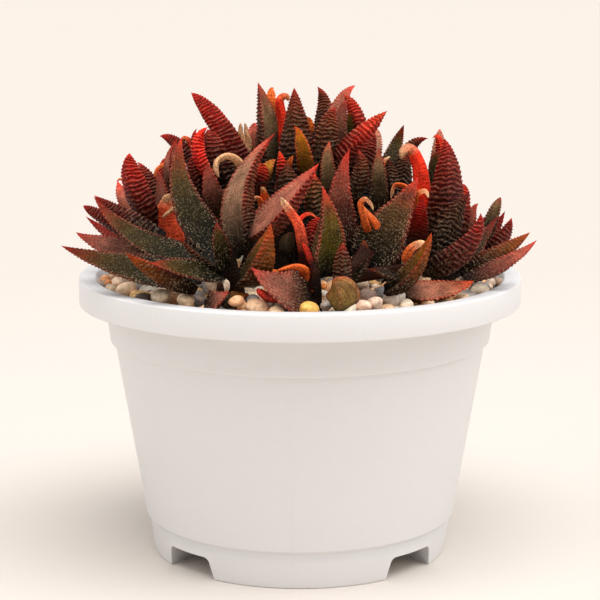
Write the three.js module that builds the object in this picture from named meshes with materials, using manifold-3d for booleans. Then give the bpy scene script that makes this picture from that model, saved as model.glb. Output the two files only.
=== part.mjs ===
// A potted haworthia: a clump of keeled, ridged rosettes in a white moulded nursery pot.
// Millimetres, +Z up. The origin is the centre of the pot's feet, on the surface they stand on.
// The front of the plant looks along -Y.

import * as THREE from 'three';
import { mergeVertices } from 'three/addons/utils/BufferGeometryUtils.js';
import Module from 'manifold-3d';

const { clamp, degToRad, lerp } = THREE.MathUtils;
const wasm = await Module();
wasm.setup();

// ---- Driving dimensions -------------------------------------------------

// The pot, a thin-walled cup with a folded rim and four feet.
const ROUND = 32;
const WALL = 1.6;
const RIM_RADIUS = 75;
const RIM_TOP = 95.2;
const RIM_SKIRT_FOOT = 86.4;
const RIM_INNER_RADIUS = 69.3;
const RIM_ROUND = 0.9;
const BAND_TOP_RADIUS = 66.3;
const BAND_FOOT_RADIUS = 64.6;
const BAND_FOOT = 73.3;
const SIDE_TOP_RADIUS = 63.2;
const SIDE_FOOT_RADIUS = 53.1;
const FOOT_TOP = 12.5;
const FOOT_TOP_RADIUS = 52.2;
const FOOT_RADIUS = 50.4;
const FOOT_INNER_RADIUS = 34;
const FOOT_CHAMFER = 0.8;
const FLOOR_UNDERSIDE = 8;
const NOTCH_ANGLES = [46.5, 133.5, 226.5, 313.5];
const NOTCH_TOP = 7.6;
const NOTCH_TOP_HALF_WIDTH = 6.2;
const NOTCH_FOOT_HALF_WIDTH = 7.9;
const NOTCH_END_RADIUS = 28;
const NOTCH_CORNER = 1.6;
const NOTCH_WIDENING = 0.36;
const DRAIN_HOLES = 6;
const DRAIN_RADIUS = 3.5;
const DRAIN_CIRCLE = 20;

// What fills the pot: soil, and on it a bed of river pebbles.
const GAP = 0.35;
const SOIL_TOP = 84;
const GRAVEL_EDGE = 90;
const GRAVEL_SHOULDER_RADIUS = 58;
const GRAVEL_MIDDLE = 91.5;
const PEBBLES = 66;
const PEBBLE_RADIUS = 6.2;
const PEBBLE_HEAP = 0.9;
const PEBBLE_OVERLAP = 0.7;
const PEBBLE_SIZES = [0.85, 1.15];
const PEBBLE_WIDTHS = [0.8, 1];
const PEBBLE_FLATNESS = 0.8;
const PEBBLE_SEED = 41;
const HOLE_SIDES = 6;

// The rosettes: stems, leaves and their ridges.
const STEM_FOOT = 77;
const STEM_RADIUS = 5;
const BUD_STEM_RADIUS = 2.6;
const STEM_SIDES = 5;
const STEM_TIP_RADIUS = 3.4;
const STEM_LOW = 3;
const RIDGE_PITCH = 9;
const FEWEST_RIDGES = 2;
const RIDGE_LEAN = 0.68;
const TOOTH = 0.05;
const LEAF_DEPTH = 0.5;
const LEAF_KEEL = 0.2;
const LEAF_FULL_AT = 0.3;
const LEAF_ROOT_WIDTH = 0.5;
const LEAF_TAPER = 1.4;
const HEEL_WIDTH = 0.12;
const CURL_SIDES = 4;
const CURL_PITCH = 7;
const CURL_FLATTEN = 0.75;
const CURL_GROOVE = 0.85;
const CURL_THINNING = 0.5;

// The inner and outer leaves that follow the plant's own rule of growth.
const GOLDEN_TURN = degToRad(137.5);
const OUTER_RISE = 4;
const ROOT_REACH = 0.6;
const INNER_SPREAD = 12;
const OUTER_SPREAD = 72;
const INNER_SIZE = 0.7;
const LENGTH_SPREAD = 0.1;
const LEAF_AGES = [1, 0.75, 0.55];
const GROWN_BOW = 0.06;
const BODY_SAMPLES = 8;
const BODY_GIRTH = 0.32;
const LEAF_CLEARANCE = 0.5;
const LOWEST_LEAF = 97;
const RIM_CLEARANCE = 2;
const CROWN_TOP = 148;
const CROWN_FALL = 0.006;
const REAR_LIMIT = 75;
const FRONT_DEPTH = -2;
const GROWTH_SEED = 7;

const POT_WHITE = 0xe4dfda;
const SOIL_BROWN = 0x4a3a2c;
const PEBBLE_BEIGE = 0xa8957e;
const LEAF_GREEN = 0x4b5230;
const LEAF_BROWN = 0x5c4234;
const LEAF_MAROON = 0x7a2f28;
const LEAF_RED = 0xa33a2c;

// ---- The plant as it grows ----------------------------------------------

// Each rosette has a heart, the axis that it leans along, and its leaves. A leaf bends
// from its root through its middle to its tip. Its upper face looks along the axis, or
// along `face` where it is twisted. A curl is a shrivelled leaf along a path.
// `grown` asks for that many more leaves by the rule of growth, of a length and width.
const ROSETTES = [
  {
    name: 'front_left', heart: [-21, -38, 96], lean: [-0.2, -0.25, 0.95], color: LEAF_GREEN,
    leaves: [
      { tip: [-39, -12, 143], middle: [-37, -27, 124], root: [-22, -34, 105], wide: 11.5, taper: 1.3 },
      {
        tip: [-8, -20, 145], middle: [-21, -32, 128], root: [-19, -36, 107], wide: 12,
        face: [-0.75, -0.6, 0.1], keel: 0.8, taper: 1.5,
      },
      {
        tip: [-67, -26, 125], middle: [-50, -35, 112], root: [-25, -37, 105], wide: 10,
        face: [-0.2, -0.6, 0.9], keel: -0.5, taper: 1.3,
      },
      {
        tip: [-77, -34, 110], middle: [-55, -44, 105.2], root: [-31, -45, 102], wide: 12,
        face: [0, -0.8, 0.8], taper: 1.3,
      },
      {
        tip: [-54, -56, 111], middle: [-45, -58, 106], root: [-33, -52, 99], wide: 7.5,
        face: [0.1, 1, 0.9],
      },
      {
        tip: [-46, -62, 109], middle: [-36, -58, 107], root: [-24, -48, 103], wide: 8.5,
        face: [0, -0.8, 0.8],
      },
      { tip: [-37, -50, 114], middle: [-32, -50, 110], root: [-25, -44, 104], wide: 4.5 },
      {
        tip: [-26, -50, 120], middle: [-25, -52, 114], root: [-23, -48, 104], wide: 6,
        face: [0.4, -0.9, 0.3],
      },
      {
        tip: [-9, -60, 121], middle: [-14, -60, 112], root: [-20, -52, 102], wide: 10,
        face: [-0.8, -0.2, 0.5], keel: 0.5, taper: 1.5, deep: 8,
      },
      {
        tip: [6, -38, 137], middle: [-6, -40, 126], root: [-17.5, -38, 114.5], wide: 13,
        face: [-0.5, -0.4, 0.8], keel: 0.7, taper: 1.5,
      },
    ],
    grown: { count: 6, length: 26, wide: 9 },
  },
  {
    name: 'front_centre', heart: [15, -46, 95], lean: [0.05, -0.25, 0.95], color: LEAF_BROWN,
    leaves: [
      {
        tip: [7, -48, 131], middle: [10, -54, 117], root: [8, -50, 102], wide: 11,
        face: [0.55, -0.8, 0.2], keel: -0.7, taper: 1.3,
      },
      {
        tip: [16, -30, 141], middle: [13, -36, 126], root: [15, -38, 107], wide: 11.5,
        face: [0.5, -0.9, 0.1], keel: -0.6, taper: 1,
      },
      {
        tip: [38, -32, 132], middle: [28.5, -41, 118], root: [20, -42, 104], wide: 17.5,
        face: [-0.3, -1, 0.4], taper: 1.1,
      },
      { tip: [23, -54, 112], middle: [20, -55, 108], root: [16, -52, 101], wide: 3.5 },
      {
        tip: [13, -60, 115], middle: [13, -60, 108], root: [13, -56, 99], wide: 5.5,
        face: [0, 1, 0.2], taper: 2.2,
      },
      {
        tip: [41, -52, 117], middle: [35, -55, 108], root: [26, -52, 99], wide: 8.5,
        face: [-0.9, -0.3, 0.6], keel: 0.8,
      },
      {
        tip: [56, -37, 99], middle: [44, -46, 98], root: [32, -48, 98], wide: 9,
        face: [0, -0.7, 1], taper: 2,
      },
    ],
    curls: [
      {
        wide: 3.4,
        path: [
          [26, -37, 112], [24.5, -40, 117], [22.5, -41, 120], [20.5, -42, 122.5],
          [19.5, -42, 124.5],
        ],
      },
      {
        wide: 2.8,
        path: [
          [21.5, -39, 113], [20.5, -42, 119], [19.5, -43, 122.5], [19, -44, 125],
          [20.5, -45, 126.5], [22.5, -45, 124.5], [23, -45, 123],
        ],
      },
      {
        wide: 4.2,
        path: [
          [34, -46, 104.5], [33.5, -48, 108], [34.5, -49, 111], [37, -49, 112.8], [40, -48, 113],
        ],
      },
    ],
    grown: { count: 5, length: 22, wide: 8 },
  },
  {
    name: 'front_low', heart: [5, -54, 94], lean: [0, -0.3, 0.95], color: LEAF_MAROON,
    leaves: [
      {
        tip: [-15, -64, 108], middle: [-6, -64, 102], root: [4, -57, 98], wide: 13.5,
        face: [0.1, -1, 0.7], taper: 1.1,
      },
      {
        tip: [-2, -43, 115], middle: [-4, -47, 113], root: [-3, -48, 107], wide: 5,
        face: [0, 1, 0.2], taper: 3,
      },
    ],
    curls: [
      {
        wide: 4.6,
        path: [
          [1.5, -51, 105], [1.5, -51, 109.5], [0.5, -50, 114.5], [-0.5, -49, 118.5],
          [-2.5, -48, 122], [-4.5, -48, 125], [-6, -48, 127.5],
        ],
      },
      { wide: 2.2, path: [[-0.5, -48, 118], [0.5, -47, 121], [3, -46, 122], [5.5, -45, 120.5]] },
      {
        wide: 3.8,
        path: [
          [2, -53, 103.5], [1, -55, 106], [-1.5, -57, 107], [-4.5, -58, 106.5], [-7, -58, 105.5],
          [-9, -57, 104],
        ],
      },
      { wide: 3, path: [[-3, -52, 102.5], [-8, -51, 104], [-11.5, -50, 105.5]] },
      {
        wide: 5,
        path: [
          [0, -58, 96.5], [-4.5, -60, 97.5], [-9.5, -61, 98], [-12.5, -61, 100], [-13, -61, 101],
        ],
      },
    ],
  },
  {
    name: 'bud_front', heart: [12, -57, 94], lean: [0, -0.2, 1], color: LEAF_GREEN,
    leaves: [
      {
        tip: [11, -61, 104], middle: [13, -64, 101], root: [13, -61, 95], wide: 10.5,
        face: [0, 1, 0.2], taper: 2.2, deep: 6,
      },
    ],
  },
  {
    name: 'bud_left', heart: [-25, -53, 94], lean: [0, -0.2, 1], color: LEAF_BROWN,
    leaves: [
      {
        tip: [-22, -61, 100], middle: [-26, -62, 98], root: [-30, -59, 95], wide: 7,
        face: [0, -0.8, 1], taper: 1.4,
      },
      { tip: [-16, -54, 98], middle: [-20, -57, 98], root: [-24, -57, 95], wide: 7, taper: 2.6 },
    ],
  },
  {
    name: 'left', heart: [-43, -8, 95], lean: [-0.3, -0.05, 0.95], color: LEAF_MAROON,
    leaves: [
      {
        tip: [-56, -16, 138], middle: [-54, -18, 127], root: [-47, -8, 109], wide: 8.5,
        face: [0, 1, 0.2], taper: 2.4,
      },
      {
        tip: [-61.5, -2, 127], middle: [-58.3, -4, 119], root: [-52, 0, 107], wide: 5.5,
        face: [-0.4, -0.9, 0.2], taper: 2.4,
      },
      { tip: [-55, 2, 133], middle: [-50, 2, 125], root: [-44, 4, 109], wide: 6, face: [0, 1, 0.2] },
      {
        tip: [-72, -12, 120], middle: [-64.5, -14, 116], root: [-47, -10, 106], wide: 6,
        face: [0, 1, 0.2],
      },
      {
        tip: [-74, -18, 112], middle: [-61, -22, 107.8], root: [-44, -14, 103], wide: 12,
        face: [0, -0.7, 1],
      },
      {
        tip: [-45.3, 12, 133.5], middle: [-46, 10, 128.5], root: [-44, 4, 118], wide: 5,
        face: [0, 1, 0.2], taper: 2.6,
      },
    ],
    curls: [
      {
        wide: 2.6,
        path: [
          [-42, 2, 122], [-43, 5, 128.5], [-45.5, 6, 131.5], [-47.5, 6, 131], [-49, 6, 129.5],
          [-49, 6, 127.5], [-46.5, 6, 126],
        ],
      },
      { wide: 2, path: [[-56, -1, 117], [-58.5, -1, 125], [-60.5, -1, 127.5], [-62, -1, 126.5]] },
      { wide: 8.6, path: [[-42.5, -12, 109], [-44, -13, 114.5], [-44.5, -14, 119], [-43.5, -14, 123]] },
      { wide: 3.2, path: [[-45.5, -12, 120], [-44, -16, 123], [-42, -17, 123.5], [-40.5, -17, 121]] },
      {
        wide: 2.2,
        path: [
          [-40.5, -13, 119], [-41.5, -18, 120], [-43.5, -18.5, 118.5], [-45.5, -18.5, 117],
        ],
      },
    ],
    grown: { count: 11, length: 32, wide: 10 },
  },
  {
    name: 'back_left', heart: [-26, 12, 97], lean: [-0.2, 0, 0.98], color: LEAF_RED,
    leaves: [
      {
        tip: [-48, 10, 141], middle: [-41, 12, 137], root: [-32, 14, 124], wide: 5.5,
        face: [0, 1, 0.2], taper: 1.8,
      },
      {
        tip: [-31, 0, 145], middle: [-34, -2, 136], root: [-26, 8, 119], wide: 4.5,
        face: [0, 1, 0.2], taper: 3,
      },
      {
        tip: [-37, 8, 156], middle: [-26.6, 8, 143.8], root: [-15, 12, 122], wide: 9,
        face: [0.5, 1, 0.3], taper: 2.6,
      },
      {
        tip: [-32, 0, 135], middle: [-29, -4, 122], root: [-25, 4, 111], wide: 9.5,
        face: [-0.3, -0.9, 0.3],
      },
    ],
    curls: [
      {
        wide: 3.6,
        path: [
          [-35, 13, 126.5], [-36.5, 12, 135.5], [-37.5, 12, 138.5], [-39.5, 12, 140],
          [-41, 12, 139],
        ],
      },
      {
        wide: 5.2,
        path: [
          [-18.5, 2, 124], [-19, -2, 130], [-21.5, -5, 134.5], [-24.5, -7, 136], [-27.5, -8, 134.5],
          [-28, -9, 132], [-27, -9, 129],
        ],
      },
      { wide: 2.2, path: [[-20.5, 16, 135.5], [-20.5, 16, 142], [-20.5, 16, 145]] },
      { wide: 2.2, path: [[-18.5, 16, 135], [-18.5, 16, 142], [-19, 16, 145]] },
    ],
    grown: { count: 12, length: 36, wide: 11 },
  },
  {
    name: 'centre', heart: [-5, -8, 97], lean: [0, -0.1, 0.99], color: LEAF_BROWN,
    leaves: [
      {
        tip: [-8, -8, 135], middle: [-11, -10, 132], root: [-12, -8, 125], wide: 4.5,
        face: [-0.4, -0.9, 0.2], taper: 1.8,
      },
      { tip: [-7, -10, 138], middle: [-6, -11, 133], root: [-6, -8, 123], wide: 4, face: [0, 1, 0.2] },
      { tip: [-4, -18, 135], middle: [-4, -20, 130], root: [-3, -14, 120], wide: 7, face: [0, 1, 0.2] },
      {
        tip: [-2, -12, 146], middle: [1, -15, 139], root: [4, -8, 119], wide: 7.5,
        face: [-0.7, -0.8, 0.3], keel: -0.5,
      },
    ],
    curls: [
      {
        wide: 1.2,
        path: [
          [-4, -12, 125.5], [-5, -16, 128.5], [-8, -18, 128.5], [-11.5, -18, 128.5],
          [-14, -18, 127.5], [-14, -18, 124.5],
        ],
      },
      { wide: 3.6, path: [[-10, -12, 119], [-11.5, -16, 123.5], [-12, -18, 126], [-13, -18, 127]] },
      { wide: 2.8, path: [[-11.5, -12, 118], [-13, -18, 122.5], [-14.5, -19, 123.5], [-16, -19, 122]] },
    ],
    grown: { count: 8, length: 24, wide: 8 },
  },
  {
    name: 'back_centre', heart: [-3, 18, 97], lean: [0, 0.05, 0.99], color: LEAF_BROWN,
    leaves: [
      {
        tip: [-14.5, 16, 159], middle: [-9.7, 14, 143.5], root: [-7, 17, 121], wide: 11,
        face: [0.8, -0.6, 0], keel: -0.6, taper: 1.4,
      },
      {
        tip: [-2, 4, 158], middle: [-1.3, 4, 143], root: [-1, 14, 118], wide: 13,
        face: [0, 1, 0.2], taper: 1.05,
      },
      { tip: [-9, 24, 156], middle: [-10, 23, 152], root: [-8, 22, 135], wide: 4, face: [0, -1, 0.3] },
      {
        tip: [6, 22, 157], middle: [8.7, 20, 147], root: [6, 19, 128], wide: 8,
        face: [0, 1, 0.2], taper: 1.3,
      },
    ],
    curls: [
      {
        wide: 4.4,
        path: [
          [-5, 16, 135.5], [-5.5, 15, 144.5], [-6.5, 15, 149], [-7, 15, 152.5], [-6, 15, 154],
          [-4.5, 15, 154], [-4, 15, 152.5],
        ],
      },
    ],
    grown: { count: 12, length: 40, wide: 11 },
  },
  {
    name: 'top_right', heart: [13, 8, 97], lean: [0.1, 0, 0.99], color: LEAF_RED,
    leaves: [
      {
        tip: [19, 14, 158], middle: [11.7, 12, 147.5], root: [6, 10, 122], wide: 8.5,
        face: [-0.6, -0.8, 0.2], taper: 1.4,
      },
      {
        tip: [12, -4, 152], middle: [9, -4, 143], root: [9, 3, 124], wide: 9,
        face: [0, 1, 0.2], keel: 0.3,
      },
      {
        tip: [16, 4, 154], middle: [13, 3, 144], root: [12, 6, 122], wide: 6.5,
        face: [-0.5, -0.8, 0], keel: 0.7,
      },
      {
        tip: [15, 12, 155], middle: [19.3, 10, 147.3], root: [22, 12, 133], wide: 5.5,
        face: [0, 1, 0.2], taper: 2.4,
      },
      {
        tip: [29, -6, 151], middle: [19.7, -6, 141.8], root: [11, 2, 130], wide: 8.5,
        face: [-0.2, 1, 0.3], taper: 1.8,
      },
      { tip: [25, 6, 143], middle: [23, 6, 137], root: [18, 6, 123], wide: 7, face: [0, 1, 0.2] },
      {
        tip: [26.5, 16, 143], middle: [26, 14, 136], root: [23, 12, 122], wide: 4.5,
        face: [0, -1, 0.3], taper: 2.2,
      },
      { tip: [19, -16, 139], middle: [20, -18, 132], root: [16, -6, 119], wide: 6, face: [0, 1, 0.2] },
      { tip: [10, -16, 142], middle: [9, -16, 134], root: [11, -6, 118], wide: 5.5, face: [0.3, -1, 0.2] },
    ],
    grown: { count: 8, length: 32, wide: 9 },
  },
  {
    name: 'mid_right', heart: [30, -6, 97], lean: [0.1, -0.1, 0.99], color: LEAF_BROWN,
    leaves: [
      {
        tip: [26, -12, 139], middle: [26, -14, 130], root: [26, -11, 114], wide: 6.5,
        face: [-0.4, -0.9, 0],
      },
      { tip: [30, -8, 135], middle: [30, -10, 130], root: [33, -8, 117], wide: 5.5, face: [0, 1, 0.2] },
      { tip: [36, 20, 144], middle: [32.5, 18, 135], root: [27, 6, 123], wide: 6, face: [0, -1, 0.3] },
      { tip: [44, 12, 140], middle: [37, 12, 135.5], root: [33, 2, 123], wide: 6, face: [0, 1, 0.2] },
      { tip: [36, 2, 135], middle: [35, 0, 130], root: [34, -3, 119], wide: 6.5, face: [0, 1, 0.2] },
      {
        tip: [40, -22, 124], middle: [39, -22, 117], root: [38, -15, 105], wide: 7,
        face: [0, -1, 0.3], taper: 1.2,
      },
    ],
    curls: [
      {
        wide: 6.4,
        path: [
          [42, -6, 113.5], [41.5, -8, 121.5], [40.7, -8, 127], [40, -8, 132.5], [38, -8, 137],
          [36, -8, 138.5], [34.5, -8, 137.5], [33.5, -8, 135],
        ],
      },
      {
        wide: 2.8,
        path: [
          [38, -12, 117], [38, -22, 124.5], [39.5, -23, 126], [41, -23, 126], [42, -23, 124],
        ],
      },
      {
        wide: 3,
        path: [
          [37.5, -10, 117.5], [36.5, -15, 124.5], [34.5, -16, 127], [32.5, -16, 127.5],
          [31, -16, 127], [30, -16, 123],
        ],
      },
      { wide: 2.4, path: [[28.5, 0, 126.5], [28.5, 0, 133], [29.5, 0, 134.5], [30.5, 0, 135]] },
    ],
    grown: { count: 8, length: 28, wide: 9 },
  },
  {
    name: 'right', heart: [46, -24, 95], lean: [0.3, -0.1, 0.95], color: LEAF_MAROON,
    leaves: [
      { tip: [56, -16, 125], middle: [50, -18, 116], root: [46, -18, 102], wide: 9, face: [0, 1, 0.2] },
      {
        tip: [57, -44, 122], middle: [53, -42, 112], root: [40, -33, 102], wide: 12,
        face: [-0.6, 0.9, 0.6], taper: 1.3,
      },
      { tip: [76, -18, 112], middle: [66, -23, 106], root: [53, -22, 99], wide: 8, face: [-0.2, 1, 0.4] },
      {
        tip: [77, -28, 111], middle: [67, -32, 104.8], root: [53, -31, 98.5], wide: 6.5,
        face: [0, -0.6, 1],
      },
    ],
    grown: { count: 6, length: 24, wide: 8 },
  },
  {
    name: 'right_high', heart: [46, -4, 95], lean: [0.05, 0, 1], color: LEAF_MAROON,
    leaves: [
      {
        tip: [48, -8, 142], middle: [49, -10, 126], root: [46, -6, 100], wide: 12.5,
        face: [-0.1, 1, 0.2], taper: 1.5,
      },
    ],
    grown: { count: 10, length: 32, wide: 10 },
  },
  {
    name: 'far_right', heart: [57, 8, 94], lean: [0.3, 0.1, 0.95], color: LEAF_RED,
    leaves: [
      { tip: [72, 2, 114], middle: [68.5, -2, 107.5], root: [62, 4, 98], wide: 6.5, face: [0, 1, 0.2] },
      {
        tip: [69, 10, 120], middle: [66.3, 8, 114.3], root: [61, 7, 99], wide: 5.5,
        face: [-0.5, -0.8, 0.2],
      },
      { tip: [62, 16, 117], middle: [59, 14, 111], root: [59, 11, 97], wide: 5, face: [0, -1, 0.3] },
      {
        tip: [55, 10, 124], middle: [55.5, 8, 120], root: [55.5, 8, 105], wide: 5.5,
        face: [0, 1, 0.2], taper: 2.6,
      },
    ],
    grown: { count: 6, length: 22, wide: 8 },
  },
  {
    name: 'back_right', heart: [45, 28, 94], lean: [0.1, 0.1, 0.98], color: LEAF_RED,
    leaves: [
      { tip: [49, 26, 142], middle: [48.6, 25, 132], root: [48.5, 25, 107], wide: 6.5, face: [0, -1, 0.3] },
      { tip: [46, 22, 139], middle: [49, 22, 135], root: [48, 24, 112], wide: 4, face: [0, 1, 0.2] },
    ],
    grown: { count: 12, length: 34, wide: 10 },
  },
  {
    name: 'rear_left', heart: [-50, 22, 93], lean: [-0.35, 0.25, 0.9], color: LEAF_MAROON,
    grown: { count: 12, length: 36, wide: 12 },
  },
  {
    name: 'rear_middle_left', heart: [-24, 42, 93], lean: [-0.15, 0.4, 0.9], color: LEAF_GREEN,
    grown: { count: 13, length: 38, wide: 12 },
  },
  {
    name: 'rear_middle', heart: [6, 44, 94], lean: [0, 0.35, 0.95], color: LEAF_RED,
    grown: { count: 13, length: 40, wide: 12 },
  },
  {
    name: 'rear_right', heart: [31, 46, 93], lean: [0.2, 0.4, 0.9], color: LEAF_BROWN,
    grown: { count: 12, length: 36, wide: 11 },
  },
];

// ---- Small tools ---------------------------------------------------------

const UP = new THREE.Vector3(0, 0, 1);

function vector(triple) {
  return new THREE.Vector3(...triple);
}

// A repeatable draw between 0 and 1.
function seededRandom(seed) {
  const STEP = 1664525;
  const SHIFT = 1013904223;
  const RANGE = 4294967296;
  let state = seed;
  return () => {
    state = (STEP * state + SHIFT) % RANGE;
    return state / RANGE;
  };
}

// A closed geometry as a solid that can be joined and cut.
function solidOf(geometry) {
  const bare = geometry.clone();
  bare.deleteAttribute('normal');
  bare.deleteAttribute('uv');
  const merged = mergeVertices(bare);
  return new wasm.Manifold(new wasm.Mesh({
    numProp: 3,
    vertProperties: new Float32Array(merged.attributes.position.array),
    triVerts: new Uint32Array(merged.index.array),
  }));
}

// Rings of points, from start to end, skinned into a closed solid. It ends in a point
// where `apex` is given and is flat at both ends otherwise.
function loftSolid(rings, apex = null) {
  const sides = rings[0].length;
  const points = rings.flat();
  const triangles = [];
  for (let ring = 0; ring + 1 < rings.length; ring += 1) {
    for (let side = 0; side < sides; side += 1) {
      const next = (side + 1) % sides;
      const low = ring * sides;
      const high = low + sides;
      triangles.push(low + side, low + next, high + next);
      triangles.push(low + side, high + next, high + side);
    }
  }
  for (let side = 1; side + 1 < sides; side += 1) {
    triangles.push(0, side + 1, side);
  }
  const last = (rings.length - 1) * sides;
  if (apex) {
    points.push(apex);
    for (let side = 0; side < sides; side += 1) {
      triangles.push(last + side, last + ((side + 1) % sides), points.length - 1);
    }
  } else {
    for (let side = 1; side + 1 < sides; side += 1) {
      triangles.push(last, last + side, last + side + 1);
    }
  }
  const geometry = new THREE.BufferGeometry().setFromPoints(points);
  geometry.setIndex(triangles);
  return solidOf(geometry);
}

function unite(solids) {
  return solids.reduce((sum, solid) => sum.add(solid));
}

// The largest body of a solid that cuts may have left in pieces.
function mainBody(solid) {
  const bodies = solid.decompose();
  return bodies.reduce((best, body) => (body.volume() > best.volume() ? body : best));
}

function latheSolid(profile) {
  const points = profile.map(([radius, height]) => new THREE.Vector2(radius, height));
  const geometry = new THREE.LatheGeometry(points, ROUND);
  geometry.rotateX(Math.PI / 2);
  return solidOf(geometry);
}

function cylinderSolid(radius, sides, foot, top, x, y) {
  const geometry = new THREE.CylinderGeometry(radius, radius, top - foot, sides);
  geometry.rotateX(Math.PI / 2);
  geometry.translate(x, y, (top + foot) / 2);
  return solidOf(geometry);
}

function pieceMesh(name, solid, color, roughness) {
  const data = solid.getMesh();
  const geometry = new THREE.BufferGeometry();
  geometry.setAttribute('position', new THREE.BufferAttribute(data.vertProperties, 3));
  geometry.setIndex(new THREE.BufferAttribute(data.triVerts, 1));
  geometry.computeVertexNormals();
  const mesh = new THREE.Mesh(geometry, new THREE.MeshStandardMaterial({ color, roughness, metalness: 0 }));
  mesh.name = name;
  return mesh;
}

// ---- Pot -----------------------------------------------------------------

// One of the four gateways between the feet. It widens towards the middle of the pot,
// and its upper corners are rounded.
function notchSolid(angle) {
  const outline = [
    [-NOTCH_FOOT_HALF_WIDTH, -1],
    [NOTCH_FOOT_HALF_WIDTH, -1],
    [NOTCH_TOP_HALF_WIDTH + NOTCH_CORNER / 4, NOTCH_TOP - NOTCH_CORNER],
    [NOTCH_TOP_HALF_WIDTH - NOTCH_CORNER / 2, NOTCH_TOP],
    [-NOTCH_TOP_HALF_WIDTH + NOTCH_CORNER / 2, NOTCH_TOP],
    [-NOTCH_TOP_HALF_WIDTH - NOTCH_CORNER / 4, NOTCH_TOP - NOTCH_CORNER],
  ];
  const turn = degToRad(angle) - Math.PI / 2;
  const rings = [NOTCH_END_RADIUS, FOOT_TOP_RADIUS + WALL].map((radius) => {
    const widening = NOTCH_WIDENING * (FOOT_RADIUS - radius);
    return outline.map(([across, height]) => {
      const half = across + Math.sign(across) * widening;
      return new THREE.Vector3(radius, half, height).applyAxisAngle(UP, turn);
    });
  });
  return loftSolid(rings);
}

function potSolid() {
  const floor = FLOOR_UNDERSIDE + WALL;
  const fold = RIM_TOP - WALL;
  const cup = latheSolid([
    [0, 0],
    [FOOT_RADIUS - FOOT_CHAMFER, 0],
    [FOOT_RADIUS, FOOT_CHAMFER],
    [FOOT_TOP_RADIUS, FOOT_TOP],
    [SIDE_FOOT_RADIUS, FOOT_TOP],
    [SIDE_TOP_RADIUS, BAND_FOOT],
    [BAND_FOOT_RADIUS, BAND_FOOT],
    [BAND_TOP_RADIUS, RIM_SKIRT_FOOT],
    [RIM_INNER_RADIUS + WALL, fold],
    [RIM_RADIUS - WALL, fold],
    [RIM_RADIUS - WALL, RIM_SKIRT_FOOT],
    [RIM_RADIUS, RIM_SKIRT_FOOT],
    [RIM_RADIUS, RIM_TOP - RIM_ROUND],
    [RIM_RADIUS - RIM_ROUND, RIM_TOP],
    [RIM_INNER_RADIUS + RIM_ROUND, RIM_TOP],
    [RIM_INNER_RADIUS, RIM_TOP - RIM_ROUND],
    [BAND_TOP_RADIUS - WALL, RIM_SKIRT_FOOT],
    [BAND_FOOT_RADIUS - WALL, BAND_FOOT],
    [SIDE_TOP_RADIUS - WALL, BAND_FOOT - WALL],
    [SIDE_FOOT_RADIUS - WALL, floor],
    [0, floor],
  ]);
  const cuts = NOTCH_ANGLES.map(notchSolid);
  cuts.push(cylinderSolid(FOOT_INNER_RADIUS, ROUND, -1, FLOOR_UNDERSIDE, 0, 0));
  for (let hole = 0; hole < DRAIN_HOLES; hole += 1) {
    const turn = (hole / DRAIN_HOLES) * Math.PI * 2;
    const x = DRAIN_CIRCLE * Math.cos(turn);
    const y = DRAIN_CIRCLE * Math.sin(turn);
    cuts.push(cylinderSolid(DRAIN_RADIUS, HOLE_SIDES, 0, floor + 1, x, y));
  }
  return cuts.reduce((pot, cut) => pot.subtract(cut), cup);
}

// ---- Soil and pebbles ----------------------------------------------------

// The radius inside the upper wall of the pot, at a height above the band's foot.
function innerRadius(height) {
  if (height < RIM_SKIRT_FOOT) {
    const share = (height - BAND_FOOT) / (RIM_SKIRT_FOOT - BAND_FOOT);
    return lerp(BAND_FOOT_RADIUS, BAND_TOP_RADIUS, share) - WALL;
  }
  const share = (height - RIM_SKIRT_FOOT) / (RIM_TOP - RIM_ROUND - RIM_SKIRT_FOOT);
  return lerp(BAND_TOP_RADIUS - WALL, RIM_INNER_RADIUS, share);
}

function soilSolid() {
  const floor = FLOOR_UNDERSIDE + WALL + GAP;
  return latheSolid([
    [0, floor],
    [SIDE_FOOT_RADIUS - WALL - GAP, floor],
    [SIDE_TOP_RADIUS - WALL - GAP, BAND_FOOT - WALL],
    [BAND_FOOT_RADIUS - WALL - GAP, BAND_FOOT],
    [innerRadius(SOIL_TOP) - GAP, SOIL_TOP],
    [0, SOIL_TOP],
  ]);
}

function pebbleSolid(x, y, z, random) {
  const geometry = new THREE.IcosahedronGeometry(1, 0);
  const size = PEBBLE_RADIUS * lerp(...PEBBLE_SIZES, random());
  geometry.rotateX(random() * Math.PI);
  geometry.scale(size, size * lerp(...PEBBLE_WIDTHS, random()), size * PEBBLE_FLATNESS);
  geometry.rotateZ(random() * Math.PI);
  geometry.translate(x, y, z);
  return solidOf(geometry);
}

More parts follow.
